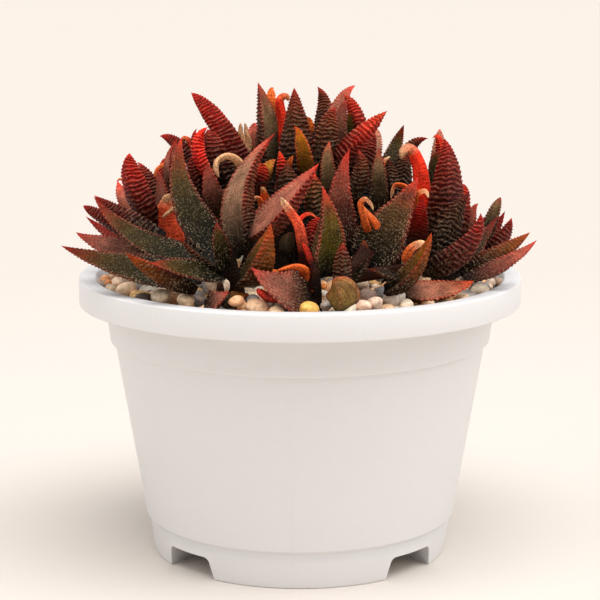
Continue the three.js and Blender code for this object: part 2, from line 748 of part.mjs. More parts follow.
// A bed that fills the mouth of the pot, with pebbles spread over it evenly, each
// half sunk in it. None lies where a stem comes up.
function gravelSolid(rosettes) {
  const random = seededRandom(PEBBLE_SEED);
  const foot = SOIL_TOP + GAP;
  const parts = [latheSolid([
    [0, foot],
    [innerRadius(foot) - GAP, foot],
    [innerRadius(RIM_SKIRT_FOOT) - GAP, RIM_SKIRT_FOOT],
    [innerRadius(GRAVEL_EDGE) - GAP, GRAVEL_EDGE],
    [GRAVEL_SHOULDER_RADIUS, GRAVEL_MIDDLE],
    [0, GRAVEL_MIDDLE],
  ])];
  const reach = innerRadius(GRAVEL_EDGE) - GAP - PEBBLE_RADIUS;
  for (let index = 0; index < PEBBLES; index += 1) {
    const radius = reach * Math.sqrt((index + 0.5) / PEBBLES);
    const turn = index * GOLDEN_TURN;
    const x = radius * Math.cos(turn);
    const y = radius * Math.sin(turn);
    const height = GRAVEL_EDGE + PEBBLE_HEAP * random();
    const free = rosettes.every(({ heart, stem }) => (
      Math.hypot(heart.x - x, heart.y - y) > stem + PEBBLE_RADIUS * PEBBLE_OVERLAP
    ));
    if (free) {
      parts.push(pebbleSolid(x, y, height, random));
    }
  }
  return unite(parts);
}

// ---- Leaves --------------------------------------------------------------

// The share of its full width that a leaf has at a share of its length.
function widthShare(share, taper) {
  if (share < LEAF_FULL_AT) {
    const swell = Math.sin((Math.PI / 2) * (share / LEAF_FULL_AT));
    return LEAF_ROOT_WIDTH + (1 - LEAF_ROOT_WIDTH) * swell;
  }
  return 1 - ((share - LEAF_FULL_AT) / (1 - LEAF_FULL_AT)) ** taper;
}

// A leaf's middle line and the direction of its upper face.
function leafLine(leaf, axis) {
  const chord = leaf.tip.clone().sub(leaf.root).normalize();
  const face = leaf.face ? vector(leaf.face).normalize() : axis.clone();
  face.addScaledVector(chord, -face.dot(chord)).normalize();
  const halfway = leaf.root.clone().add(leaf.tip).multiplyScalar(0.5);
  const pull = leaf.middle.clone().multiplyScalar(2).sub(halfway);
  return { curve: new THREE.QuadraticBezierCurve3(leaf.root, pull, leaf.tip), face };
}

// The middle of a leaf that bows away from its rosette's axis.
function bowedMiddle(root, tip, axis, bow) {
  const chord = tip.clone().sub(root).normalize();
  const inward = axis.clone().addScaledVector(chord, -axis.dot(chord)).normalize();
  return root.clone().add(tip).multiplyScalar(0.5).addScaledVector(inward, -bow);
}

// The three corners of a leaf's section: left margin, right margin and keel.
// `grow` makes the section larger all round by that much.
function leafRing(leaf, line, share, swell, grow) {
  const centre = line.curve.getPoint(share);
  const along = line.curve.getTangent(share);
  const face = line.face.clone().addScaledVector(along, -line.face.dot(along)).normalize();
  const across = along.clone().cross(face);
  const size = widthShare(share, leaf.taper) * swell;
  const half = (leaf.wide / 2) * size + 2 * grow;
  const depth = leaf.deep * size + 2 * grow;
  const keel = (leaf.wide / 2) * size * leaf.keel;
  const lifted = centre.clone().addScaledVector(face, grow);
  return [
    lifted.clone().addScaledVector(across, -half),
    lifted.clone().addScaledVector(across, half),
    centre.clone().addScaledVector(face, -depth).addScaledVector(across, keel),
  ];
}

// A leaf with saw-like ridges round it, above its plain lower part. Its heel reaches in
// to the rosette's stem.
function leafSolid(leaf, rosette, grow = 0) {
  const line = leafLine(leaf, rosette.axis);
  const bare = 1 - LEAF_FULL_AT;
  const ridges = Math.max(FEWEST_RIDGES, Math.round((leaf.root.distanceTo(leaf.tip) * bare) / RIDGE_PITCH));
  const first = leafRing(leaf, line, 0, 1, grow);
  const centre = first[0].clone().add(first[1]).add(first[2]).divideScalar(3);
  const axisPoint = stemPoint(rosette, centre);
  const reach = Math.min(STEM_TIP_RADIUS / 2, axisPoint.distanceTo(centre) / 2);
  const inner = axisPoint.clone().add(centre.clone().sub(axisPoint).setLength(reach));
  const heel = first.map((corner) => corner.clone().sub(centre).multiplyScalar(HEEL_WIDTH).add(inner));
  const rings = [heel, first];
  for (let ridge = 0; ridge < ridges; ridge += 1) {
    const groove = LEAF_FULL_AT + (bare * ridge) / ridges;
    const crest = LEAF_FULL_AT + (bare * (ridge + RIDGE_LEAN)) / ridges;
    rings.push(leafRing(leaf, line, groove, 1 - TOOTH, grow));
    rings.push(leafRing(leaf, line, crest, 1 + TOOTH, grow));
  }
  const point = leaf.tip.clone().addScaledVector(line.curve.getTangent(1), 2 * grow);
  return loftSolid(rings, point);
}

// A shrivelled leaf along its path, ribbed, and thin at its far end.
function curlSolid(curl, rosette, grow = 0) {
  const points = [stemPoint(rosette, curl.path[0]), ...curl.path];
  const curve = new THREE.CatmullRomCurve3(points, false, 'catmullrom');
  const steps = Math.round(curve.getLength() / CURL_PITCH) * 2;
  const frames = curve.computeFrenetFrames(steps, false);
  const rings = [];
  for (let step = 0; step < steps; step += 1) {
    const share = step / steps;
    const rib = step % 2 === 0 ? 1 : CURL_GROOVE;
    const radius = (curl.wide / 2) * rib * (1 - CURL_THINNING * share ** 3) + grow;
    const centre = curve.getPointAt(share);
    rings.push(Array.from({ length: CURL_SIDES }, (_, side) => {
      const turn = (side / CURL_SIDES) * Math.PI * 2;
      return centre.clone()
        .addScaledVector(frames.normals[step], radius * Math.cos(turn))
        .addScaledVector(frames.binormals[step], radius * CURL_FLATTEN * Math.sin(turn));
    }));
  }
  return loftSolid(rings, points.at(-1));
}

// ---- Rosettes ------------------------------------------------------------

// The point of a rosette's stem, above its heart, that is level with a leaf's root.
function stemPoint(rosette, place) {
  const rise = place.clone().sub(rosette.heart).dot(rosette.axis) - STEM_LOW;
  const level = clamp(rise, 0, rosette.rise);
  return rosette.heart.clone().addScaledVector(rosette.axis, level);
}

// The stem stands upright in its hole up to the rosette's heart, then leans and thins.
function stemSolid(rosette, grow = 0) {
  const { x, y } = rosette.heart;
  const corner = grow / Math.cos(Math.PI / STEM_SIDES);
  const stations = [
    { centre: new THREE.Vector3(x, y, STEM_FOOT), radius: rosette.stem + corner },
    { centre: rosette.heart, radius: rosette.stem + corner },
    { centre: stemPoint(rosette, rosette.top), radius: STEM_TIP_RADIUS + corner },
  ];
  return loftSolid(stations.map(({ centre, radius }) => (
    Array.from({ length: STEM_SIDES }, (_, side) => {
      const turn = (side / STEM_SIDES) * Math.PI * 2;
      return centre.clone().add(new THREE.Vector3(radius * Math.cos(turn), radius * Math.sin(turn), 0));
    })
  )));
}

// The plain hole in the soil and the gravel that a stem stands in.
function stemHole(rosette) {
  const { x, y, z } = rosette.heart;
  const radius = (rosette.stem + GAP) / Math.cos(Math.PI / HOLE_SIDES);
  return cylinderSolid(radius, HOLE_SIDES, STEM_FOOT - GAP, z, x, y);
}

// Balls along a leaf's body, by which it is kept clear of other leaves.
function bodyBalls(leaf, rosette) {
  const line = leafLine(leaf, rosette.axis);
  return Array.from({ length: BODY_SAMPLES }, (_, index) => {
    const share = (index + 0.5) / BODY_SAMPLES;
    const size = widthShare(share, leaf.taper);
    const centre = line.curve.getPoint(share).addScaledVector(line.face, (-leaf.deep * size) / 3);
    return { centre, radius: leaf.wide * BODY_GIRTH * size, outer: share > 0.5, rosette };
  });
}

function isClear(balls, taken) {
  const overRim = balls.every(({ centre, radius }) => {
    const reach = Math.hypot(centre.x, centre.y) + radius;
    const lowest = reach > RIM_INNER_RADIUS ? RIM_TOP + RIM_CLEARANCE : 0;
    return centre.z - radius > lowest;
  });
  return overRim && taken.every((other) => balls.every((ball) => {
    const sameRosette = other.rosette === ball.rosette;
    if (sameRosette && !(other.outer && ball.outer)) {
      return true;
    }
    const room = ball.radius + other.radius + LEAF_CLEARANCE;
    return ball.centre.distanceTo(other.centre) > room;
  }));
}

// Whether a tip is above the gravel, within the plant's domed crown and inside the rim's
// outline to the rear.
function isInBounds(tip) {
  const crown = CROWN_TOP - CROWN_FALL * (tip.x ** 2 + tip.y ** 2);
  return tip.z > LOWEST_LEAF && tip.z < crown && tip.y < REAR_LIMIT;
}

// More leaves for a rosette, from its heart outwards, each turned by the golden angle
// from the last. One that lacks room stays shorter, and is left out where that isn't enough.
function growLeaves(rosette, taken, random) {
  const { count, length, wide } = rosette.grown;
  const side = new THREE.Vector3(1, 0, 0).cross(rosette.axis).normalize();
  const front = rosette.leaves.length > 0 ? rosette.heart.y - FRONT_DEPTH : -RIM_RADIUS;
  for (let index = 0; index < count; index += 1) {
    const share = (index + 0.5) / count;
    const spread = degToRad(lerp(INNER_SPREAD, OUTER_SPREAD, share));
    const outward = side.clone().applyAxisAngle(rosette.axis, index * GOLDEN_TURN);
    const along = rosette.axis.clone().multiplyScalar(Math.cos(spread));
    along.addScaledVector(outward, Math.sin(spread));
    const root = rosette.heart.clone();
    root.addScaledVector(rosette.axis, lerp(rosette.rise, OUTER_RISE, share));
    root.addScaledVector(outward, rosette.stem * ROOT_REACH);
    const girth = lerp(INNER_SIZE, 1, share);
    const full = length * girth * lerp(1 - LENGTH_SPREAD, 1 + LENGTH_SPREAD, random());
    for (const reach of LEAF_AGES.map((age) => age * full)) {
      const tip = root.clone().addScaledVector(along, reach);
      const middle = bowedMiddle(root, tip, rosette.axis, reach * GROWN_BOW);
      const leaf = completeLeaf({ tip, middle, root, wide: wide * girth });
      const balls = bodyBalls(leaf, rosette);
      const behind = balls.every(({ centre }) => centre.y > front);
      if (behind && isInBounds(leaf.tip) && isClear(balls, taken)) {
        rosette.leaves.push(leaf);
        taken.push(...balls);
        break;
      }
    }
  }
}

function completeLeaf(leaf) {
  return { taper: LEAF_TAPER, keel: LEAF_KEEL, deep: leaf.wide * LEAF_DEPTH, ...leaf };
}

// The rosettes with their hand-placed leaves as vectors, then with the grown ones.
function growPlant() {
  const random = seededRandom(GROWTH_SEED);
  const rosettes = ROSETTES.map((entry) => {
    const rosette = {
      ...entry,
      heart: vector(entry.heart),
      axis: vector(entry.lean).normalize(),
      stem: entry.grown ? STEM_RADIUS : BUD_STEM_RADIUS,
      leaves: (entry.leaves ?? []).map((leaf) => completeLeaf({
        ...leaf,
        tip: vector(leaf.tip),
        middle: vector(leaf.middle),
        root: vector(leaf.root),
      })),
      curls: (entry.curls ?? []).map((curl) => ({ ...curl, path: curl.path.map(vector) })),
    };
    const rises = rosette.leaves.map(({ root }) => root.clone().sub(rosette.heart).dot(rosette.axis));
    rosette.rise = Math.max(2 * rosette.stem, ...rises);
    rosette.top = rosette.heart.clone().addScaledVector(rosette.axis, rosette.rise + STEM_LOW);
    return rosette;
  });
  const taken = rosettes.flatMap((rosette) => rosette.leaves.flatMap((leaf) => bodyBalls(leaf, rosette)));
  rosettes.filter((rosette) => rosette.grown).forEach((rosette) => growLeaves(rosette, taken, random));
  return rosettes;
}

function rosetteParts(rosette, grow = 0) {
  return [
    stemSolid(rosette, grow),
    ...rosette.leaves.map((leaf) => leafSolid(leaf, rosette, grow)),
    ...rosette.curls.map((curl) => curlSolid(curl, rosette, grow)),
  ];
}

function boxesMeet(first, second) {
  const a = first.boundingBox();
  const b = second.boundingBox();
  return [0, 1, 2].every((axis) => a.min[axis] < b.max[axis] && b.min[axis] < a.max[axis]);
}

// A solid with each of the cutters that reaches it taken away.
function clearedOf(solid, cutters) {
  const near = cutters.filter((cutter) => boxesMeet(solid, cutter));
  return near.reduce((rest, cutter) => rest.subtract(cutter), solid);
}

// ---- The whole part ------------------------------------------------------

const rosettes = growPlant();
const group = new THREE.Group();
const leafSpace = [];

for (const rosette of rosettes) {
  const body = mainBody(clearedOf(unite(rosetteParts(rosette)), leafSpace));
  group.add(pieceMesh(`rosette_${rosette.name}`, body, rosette.color, 0.5));
  leafSpace.push(...rosetteParts(rosette, GAP));
}
const stemSpace = rosettes.map(stemHole);

const gravel = mainBody(clearedOf(gravelSolid(rosettes), [...stemSpace, ...leafSpace]));
const soil = clearedOf(soilSolid(), stemSpace);
group.add(pieceMesh('gravel', gravel, PEBBLE_BEIGE, 0.7));
group.add(pieceMesh('soil', soil, SOIL_BROWN, 0.95));
group.add(pieceMesh('pot', potSolid(), POT_WHITE, 0.45));

export default group;
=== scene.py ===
import math
from collections import namedtuple

import bpy
import numpy as np
from mathutils import Matrix, Vector


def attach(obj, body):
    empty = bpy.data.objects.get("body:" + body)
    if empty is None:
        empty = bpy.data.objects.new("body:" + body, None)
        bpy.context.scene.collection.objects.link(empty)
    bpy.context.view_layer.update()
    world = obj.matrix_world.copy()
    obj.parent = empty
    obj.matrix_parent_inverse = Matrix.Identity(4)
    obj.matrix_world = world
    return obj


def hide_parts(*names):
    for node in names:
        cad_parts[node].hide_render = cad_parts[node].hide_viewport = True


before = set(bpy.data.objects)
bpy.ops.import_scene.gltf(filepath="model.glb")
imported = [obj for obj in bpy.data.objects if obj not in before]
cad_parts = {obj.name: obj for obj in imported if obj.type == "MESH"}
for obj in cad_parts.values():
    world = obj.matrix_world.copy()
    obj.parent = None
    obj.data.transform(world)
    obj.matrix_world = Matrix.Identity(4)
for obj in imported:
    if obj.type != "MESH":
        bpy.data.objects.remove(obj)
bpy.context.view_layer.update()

MM = 0.001

# ---- Sizes of the pot ----------------------------------------------------

WALL = 1.6
ROUND = 144
RIM_RADIUS, RIM_TOP, RIM_SKIRT_FOOT, RIM_INNER_RADIUS = 75, 95.2, 86.4, 69.3
BAND_TOP_RADIUS, BAND_FOOT_RADIUS, BAND_FOOT = 66.3, 64.6, 73.3
SIDE_TOP_RADIUS, SIDE_FOOT_RADIUS = 63.2, 53.1
FOOT_TOP, FOOT_TOP_RADIUS, FOOT_RADIUS, FOOT_INNER_RADIUS = 12.5, 52.2, 50.4, 34
FLOOR_UNDERSIDE = 8
CENTRE_RADIUS = 2
NOTCH_ANGLES = (46.5, 133.5, 226.5, 313.5)
NOTCH_TOP, NOTCH_TOP_HALF, NOTCH_FOOT_HALF = 7.6, 6.2, 7.9
NOTCH_START, NOTCH_END = 28, 56
NOTCH_WIDENING = 0.36
DRAIN_HOLES, DRAIN_RADIUS, DRAIN_CIRCLE = 6, 3.5, 20
DRAIN_SIDES, DRAIN_DEPTH = 24, 8
EDGE_ROUND, NOTCH_ROUND = 0.7, 1.6
EDGE_ANGLE, SMOOTH_ANGLE = math.radians(28), math.radians(32)

# ---- Sizes of the gravel and the leaves ----------------------------------

GRAVEL_TOP = 90.0
GRAVEL_RADIUS = 66.0
SOIL_TOP = 84.0

# Leaves: rings and sides of the modelled columns, ridges, tints, painted light and shape.
LEAF_RINGS, GROWN_RINGS, TUCKED_RINGS = 168, 112, 26
CURL_RINGS, CURL_SIDES = 120, 20
CURL_PITCH, CURL_FLATNESS, CURL_NARROWING = 1.0, 0.6, 0.6
CURL_HOLLOW, CURL_RIB, CURL_FOLD, CURL_RIBBED = 0.84, 0.05, 0.22, 0.3
PATH_STEPS = 24
RIDGE_PITCH = 1.4
DEEPENING = 1.22
RIDGE_HEIGHT, TOOTH_HEIGHT = 0.42, 0.38
TOOTH_TINT = (0.62, 0.36, 0.28)
CLUMP_HEART, CLUMP_REACH = (0, 0, 92), (76, 68, 66)
OUTER_LIGHT, INNER_LIGHT = 0.28, 0.10
BRIGHTEST = 0.96
LEAF_DEPTH, LEAF_KEEL, LEAF_TAPER = 0.5, 0.2, 1.4
LEAF_FULL_AT, LEAF_ROOT_WIDTH = 0.3, 0.5

STEM_RADIUS, BUD_STEM_RADIUS, STEM_LOW, STEM_GIRTH = 5, 2.6, 3, 1.6

# The rule by which further leaves grow, the same as the part's.
GOLDEN_TURN = math.radians(137.5)
OUTER_RISE, ROOT_REACH = 4, 0.6
INNER_SPREAD, OUTER_SPREAD = 12, 72
INNER_SIZE, LENGTH_SPREAD = 0.7, 0.1
LEAF_AGES = (1, 0.75, 0.55)
GROWN_BOW = 0.06
BODY_SAMPLES, BODY_GIRTH, LEAF_CLEARANCE = 8, 0.32, 0.5
LOWEST_LEAF, RIM_CLEARANCE = 97, 2
CROWN_TOP, CROWN_FALL, REAR_LIMIT, FRONT_DEPTH = 148, 0.006, 75, -2
GROWTH_SEED = 7
# Further slim leaves that only close the gaps deep in the clump, most of them painted near-black as shade.
TUCKED_TRIES, TUCKED_SEED = 1600, 5
TUCKED_SPREAD, TUCKED_LENGTH, TUCKED_WIDE = (4, 60), (10, 34), (5, 9)
TUCKED_RISE, TUCKED_GIRTH, TUCKED_BERTH = (2, 10), 0.6, 1.25
TUCKED_SKINS = ("shade_black", "shade_black", "dark")

# ---- The plant -----------------------------------------------------------

# A leaf has a skin, its tip, middle and root, and its width. Its upper face looks along
# the rosette's axis, or along `face` where it is twisted. Keel is how far its keel lies to
# one side, taper how late it narrows, and deep its depth. Lit scales its skin's colours:
# painted light above 1 and painted shade below it. Bare is the share of its length over
# which painted shade darkens it towards its root.
Leaf = namedtuple("Leaf", "skin tip middle root wide face keel taper deep lit bare",
                  defaults=(None, LEAF_KEEL, LEAF_TAPER, None, 1.0, 0.62))
# A curl is a shrivelled leaf along a path, with one skin at its root and one at its tip.
# Dark is the share of its length, from its foot, that is painted dark as shade.
Curl = namedtuple("Curl", "skin tip_skin wide path dark", defaults=(0.15,))
# A rosette has a heart and the axis that it leans along. Grown is how many further leaves
# it gets, and their length and width. Its small leaves fill out the looks alone.
Rosette = namedtuple("Rosette", "name finish heart lean grown leaves curls small",
                     defaults=(None, (), (), ()))
# Faces that look straight away from the front of the plant, and straight ahead.
AWAY, AHEAD = (0, 1, 0.2), (0, -1, 0.3)

ROSETTES = [
    Rosette("front_left", "green", (-21, -38, 96), (-0.2, -0.25, 0.95), (6, 26, 9), leaves=[
        Leaf("green", (-39, -12, 143), (-37, -27, 124), (-22, -34, 105), 11.5, taper=1.3),
        Leaf("grey", (-8, -20, 145), (-21, -32, 128), (-19, -36, 107), 12,
             (-0.75, -0.6, 0.1), keel=0.8, taper=1.5, lit=1.15, bare=0.4),
        Leaf("green", (-67, -26, 125), (-50, -35, 112), (-25, -37, 105), 10,
             (-0.2, -0.6, 0.9), keel=-0.5, taper=1.3),
        Leaf("green", (-77, -34, 110), (-55, -44, 105.2), (-31, -45, 102), 12,
             (0, -0.8, 0.8), taper=1.3),
        Leaf("olive", (-54, -56, 111), (-45, -58, 106), (-33, -52, 99), 7.5, (0.1, 1, 0.9)),
        Leaf("green", (-46, -62, 109), (-36, -58, 107), (-24, -48, 103), 8.5, (0, -0.8, 0.8)),
        Leaf("dark", (-37, -50, 114), (-32, -50, 110), (-25, -44, 104), 4.5),
        Leaf("green", (-26, -50, 120), (-25, -52, 114), (-23, -48, 104), 6, (0.4, -0.9, 0.3)),
        Leaf("olive", (-9, -60, 121), (-14, -60, 112), (-20, -52, 102), 10,
             (-0.8, -0.2, 0.5), keel=0.5, taper=1.5, deep=8),
        Leaf("mauve", (6, -38, 137), (-6, -40, 126), (-17.5, -38, 114.5), 13,
             (-0.5, -0.4, 0.8), keel=0.7, taper=1.5, lit=1.2, bare=0.12),
    ], small=[
        Leaf("maroon", (-67, -24, 125), (-59, -26, 120), (-43.5, -30, 112.5), 5.5, (0, 1, 0.4)),
    ]),
    Rosette("front_centre", "brown", (15, -46, 95), (0.05, -0.25, 0.95), (5, 22, 8), leaves=[
        Leaf("green", (7, -48, 131), (10, -54, 117), (8, -50, 102), 11,
             (0.55, -0.8, 0.2), keel=-0.7, taper=1.3, lit=1.7, bare=0.3),
        Leaf("folded", (16, -30, 141), (13, -36, 126), (15, -38, 107), 11.5,
             (0.5, -0.9, 0.1), keel=-0.6, taper=1.0),
        Leaf("warty", (38, -32, 132), (28.5, -41, 118), (20, -42, 104), 17.5,
             (-0.3, -1, 0.4), taper=1.1, lit=1.2),
        Leaf("dark", (23, -54, 112), (20, -55, 108), (16, -52, 101), 3.5, lit=0.4),
        Leaf("dark", (13, -60, 115), (13, -60, 108), (13, -56, 99), 5.5, AWAY, taper=2.2),
        Leaf("olive", (41, -52, 117), (35, -55, 108), (26, -52, 99), 8.5, (-0.9, -0.3, 0.6), keel=0.8),
        Leaf("lying", (56, -37, 99), (44, -46, 98), (32, -48, 98), 9,
             (0, -0.7, 1), taper=2, lit=1.05, bare=0.3),
    ], curls=[
        Curl("orange", "orange", 3.4, dark=0.38, path=[
            (26, -37, 112), (24.5, -40, 117), (22.5, -41, 120), (20.5, -42, 122.5),
            (19.5, -42, 124.5)]),
        Curl("orange", "beige", 2.8, dark=0.3, path=[
            (21.5, -39, 113), (20.5, -42, 119), (19.5, -43, 122.5), (19, -44, 125), (20.5, -45, 126.5),
            (22.5, -45, 124.5), (23, -45, 123)]),
        Curl("orange", "beige", 4.2, dark=0.5, path=[
            (34, -46, 104.5), (33.5, -48, 108), (34.5, -49, 111), (37, -49, 112.8), (40, -48, 113)]),
    ], small=[
        Leaf("dark", (20.5, -55, 106), (26.5, -55, 105), (32.5, -50, 102), 4.5, (0, -0.6, 1), lit=0.4),
    ]),
    Rosette("front_low", "maroon", (5, -54, 94), (0, -0.3, 0.95), leaves=[
        Leaf("mauve", (-15, -64, 108), (-6, -64, 102), (4, -57, 98), 13.5,
             (0.1, -1, 0.7), taper=1.1, bare=0.4),
        Leaf("bud", (-2, -43, 115), (-4, -47, 113), (-3, -48, 107), 5, AWAY, taper=3, lit=0.3),
    ], curls=[
        Curl("ember", "beige", 4.6, dark=0.4, path=[
            (1.5, -51, 105), (1.5, -51, 109.5), (0.5, -50, 114.5), (-0.5, -49, 118.5), (-2.5, -48, 122),
            (-4.5, -48, 125), (-6, -48, 127.5)]),
        Curl("bright", "bright", 2.2, path=[
            (-0.5, -48, 118), (0.5, -47, 121), (3, -46, 122), (5.5, -45, 120.5)]),
        Curl("orange", "orange", 3.8, dark=-0.2, path=[
            (2, -53, 103.5), (1, -55, 106), (-1.5, -57, 107), (-4.5, -58, 106.5), (-7, -58, 105.5),
            (-9, -57, 104)]),
        Curl("orange", "orange", 3, dark=-0.2, path=[
            (-3, -52, 102.5), (-8, -51, 104), (-11.5, -50, 105.5)]),
        Curl("maroon", "red", 5, path=[
            (0, -58, 96.5), (-4.5, -60, 97.5), (-9.5, -61, 98), (-12.5, -61, 100), (-13, -61, 101)]),
    ], small=[
        Leaf("red", (6, -46, 121), (4, -47, 115.5), (2, -48, 106), 6, AWAY, taper=2.6),
    ]),
    Rosette("bud_front", "green", (12, -57, 94), (0, -0.2, 1), leaves=[
        Leaf("bud", (11, -61, 104), (13, -64, 101), (13, -61, 95), 10.5,
             AWAY, taper=2.2, deep=6, lit=1.2, bare=0.3),
    ]),
    Rosette("bud_left", "brown", (-25, -53, 94), (0, -0.2, 1), leaves=[
        Leaf("mauve", (-22, -61, 100), (-26, -62, 98), (-30, -59, 95), 7, (0, -0.8, 1), taper=1.4),
        Leaf("olive", (-16, -54, 98), (-20, -57, 98), (-24, -57, 95), 7, taper=2.6),
    ]),
    Rosette("left", "maroon", (-43, -8, 95), (-0.3, -0.05, 0.95), (11, 32, 10), leaves=[
        Leaf("crimson", (-56, -16, 138), (-54, -18, 127), (-47, -8, 109), 8.5, AWAY, taper=2.4),
        Leaf("mauve", (-61.5, -2, 127), (-58.3, -4, 119), (-52, 0, 107), 5.5,
             (-0.4, -0.9, 0.2), taper=2.4, lit=2.2, bare=0.35),
        Leaf("mauve", (-55, 2, 133), (-50, 2, 125), (-44, 4, 109), 6, AWAY),
        Leaf("maroon", (-72, -12, 120), (-64.5, -14, 116), (-47, -10, 106), 6, AWAY),
        Leaf("mauve", (-74, -18, 112), (-61, -22, 107.8), (-44, -14, 103), 12, (0, -0.7, 1)),
        Leaf("bright", (-45.3, 12, 133.5), (-46, 10, 128.5), (-44, 4, 118), 5, AWAY, taper=2.6),
    ], curls=[
        Curl("orange", "orange", 2.6, path=[
            (-42, 2, 122), (-43, 5, 128.5), (-45.5, 6, 131.5), (-47.5, 6, 131), (-49, 6, 129.5),
            (-49, 6, 127.5), (-46.5, 6, 126)]),
        Curl("orange", "orange", 2, path=[
            (-56, -1, 117), (-58.5, -1, 125), (-60.5, -1, 127.5), (-62, -1, 126.5)]),
        Curl("ember", "ember", 8.6, dark=-0.2, path=[
            (-42.5, -12, 109), (-44, -13, 114.5), (-44.5, -14, 119), (-43.5, -14, 123)]),
        Curl("beige", "beige", 3.2, path=[
            (-45.5, -12, 120), (-44, -16, 123), (-42, -17, 123.5), (-40.5, -17, 121)]),
        Curl("beige", "beige", 2.2, path=[
            (-40.5, -13, 119), (-41.5, -18, 120), (-43.5, -18.5, 118.5), (-45.5, -18.5, 117)]),
    ], small=[
        Leaf("mauve", (-42, -2, 140), (-45, -2, 131), (-41.5, -6, 119), 4.5, (-0.8, -0.6, 0)),
        Leaf("mauve", (-41.5, 0, 141), (-42.5, 0, 133), (-40, -2, 120), 4.5, (0, -1, 0.2)),
    ]),
    Rosette("back_left", "red", (-26, 12, 97), (-0.2, 0, 0.98), (12, 36, 11), leaves=[
        Leaf("maroon", (-48, 10, 141), (-41, 12, 137), (-32, 14, 124), 5.5, AWAY, taper=1.8),
        Leaf("red", (-31, 0, 145), (-34, -2, 136), (-26, 8, 119), 4.5, AWAY, taper=3, lit=3),
        Leaf("red", (-37, 8, 156), (-26.6, 8, 143.8), (-15, 12, 122), 9,
             (0.5, 1, 0.3), taper=2.6, lit=0.85),
        Leaf("mauve", (-32, 0, 135), (-29, -4, 122), (-25, 4, 111), 9.5, (-0.3, -0.9, 0.3)),
    ], curls=[
        Curl("bright", "orange", 3.6, path=[
            (-35, 13, 126.5), (-36.5, 12, 135.5), (-37.5, 12, 138.5), (-39.5, 12, 140),
            (-41, 12, 139)]),
        Curl("beige", "beige", 5.2, dark=-0.1, path=[
            (-18.5, 2, 124), (-19, -2, 130), (-21.5, -5, 134.5), (-24.5, -7, 136), (-27.5, -8, 134.5),
            (-28, -9, 132), (-27, -9, 129)]),
        Curl("beige", "beige", 3, path=[
            (-20.5, 16, 135.5), (-20.5, 16, 142), (-20.5, 16, 145)]),
        Curl("beige", "beige", 2.8, path=[
            (-18.5, 16, 135), (-18.5, 16, 142), (-19, 16, 145)]),
    ], small=[
        Leaf("maroon", (-31, 6, 143.5), (-29.5, 4, 138), (-26.5, 8, 125.5), 8, AWAY, taper=2),
        Leaf("maroon", (-36, 2, 135), (-35, 2, 130), (-32, 6, 118), 7, AWAY, taper=2),
        Leaf("maroon", (-35, 6, 144), (-36, 4, 137), (-33, 8, 122.5), 3, AWAY),
        Leaf("maroon", (-30.5, 6, 143.5), (-28, 6, 137), (-23.5, 8, 124.5), 8, AWAY),
        Leaf("pink", (-15.5, 22, 144.5), (-16, 20, 140), (-15.5, 16, 128.5), 6, AHEAD),
    ]),
    Rosette("centre", "brown", (-5, -8, 97), (0, -0.1, 0.99), (8, 24, 8), leaves=[
        Leaf("ochre", (-8, -8, 135), (-11, -10, 132), (-12, -8, 125), 4.5,
             (-0.4, -0.9, 0.2), taper=1.8),
        Leaf("bright", (-7, -10, 138), (-6, -11, 133), (-6, -8, 123), 4, AWAY),
        Leaf("dark", (-4, -18, 135), (-4, -20, 130), (-3, -14, 120), 7, AWAY),
        Leaf("olive", (-2, -12, 146), (1, -15, 139), (4, -8, 119), 7.5,
             (-0.7, -0.8, 0.3), keel=-0.5, lit=3),
    ], curls=[
        Curl("shade_black", "shade_black", 1.2, path=[
            (-4, -12, 125.5), (-5, -16, 128.5), (-8, -18, 128.5), (-11.5, -18, 128.5),
            (-14, -18, 127.5), (-14, -18, 124.5)]),
        Curl("orange", "dry", 3.6, path=[
            (-10, -12, 119), (-11.5, -16, 123.5), (-12, -18, 126), (-13, -18, 127)]),
        Curl("orange", "beige", 2.8, path=[
            (-11.5, -12, 118), (-13, -18, 122.5), (-14.5, -19, 123.5), (-16, -19, 122)]),
    ], small=[
        Leaf("shade_black", (-10, -11, 128), (-10.5, -12, 122.5), (-10.5, -12, 113.5), 8, AWAY),
        Leaf("green", (4.5, -17, 131.5), (5, -18, 125), (6, -16, 115), 8, AWAY, lit=3, bare=0.3),
        Leaf("orange", (-2, -14, 137), (-3.5, -14, 134.5), (-4.5, -12, 129.5), 2.5, (0.5, -1, 0.3)),
        Leaf("bright", (-14, -14, 134), (-13, -15, 130.5), (-16, -12, 123), 5.5, AHEAD, taper=3),
    ]),
    Rosette("back_centre", "brown", (-3, 18, 97), (0, 0.05, 0.99), (12, 40, 11), leaves=[
        Leaf("brown_grey", (-14.5, 16, 159), (-9.7, 14, 143.5), (-7, 17, 121), 11,
             (0.8, -0.6, 0), keel=-0.6, taper=1.4),
        Leaf("dark", (-2, 4, 158), (-1.3, 4, 143), (-1, 14, 118), 13, AWAY, taper=1.05),
        Leaf("orange", (-9, 24, 156), (-10, 23, 152), (-8, 22, 135), 4, AHEAD),
        Leaf("dark", (6, 22, 157), (8.7, 20, 147), (6, 19, 128), 8, AWAY, taper=1.3),
    ], curls=[
        Curl("bright", "orange", 4.4, path=[
            (-5, 16, 135.5), (-5.5, 15, 144.5), (-6.5, 15, 149), (-7, 15, 152.5), (-6, 15, 154),
            (-4.5, 15, 154), (-4, 15, 152.5)]),
    ], small=[
        Leaf("orange", (2.5, 16, 147), (3, 16, 144.5), (2, 16, 139), 4, AHEAD),
    ]),
    Rosette("top_right", "red", (13, 8, 97), (0.1, 0, 0.99), (8, 32, 9), leaves=[
        Leaf("mauve", (19, 14, 158), (11.7, 12, 147.5), (6, 10, 122), 8.5,
             (-0.6, -0.8, 0.2), taper=1.4),
        Leaf("dark", (12, -4, 152), (9, -4, 143), (9, 3, 124), 9, AWAY, keel=0.3),
        Leaf("mauve", (16, 4, 154), (13, 3, 144), (12, 6, 122), 6.5,
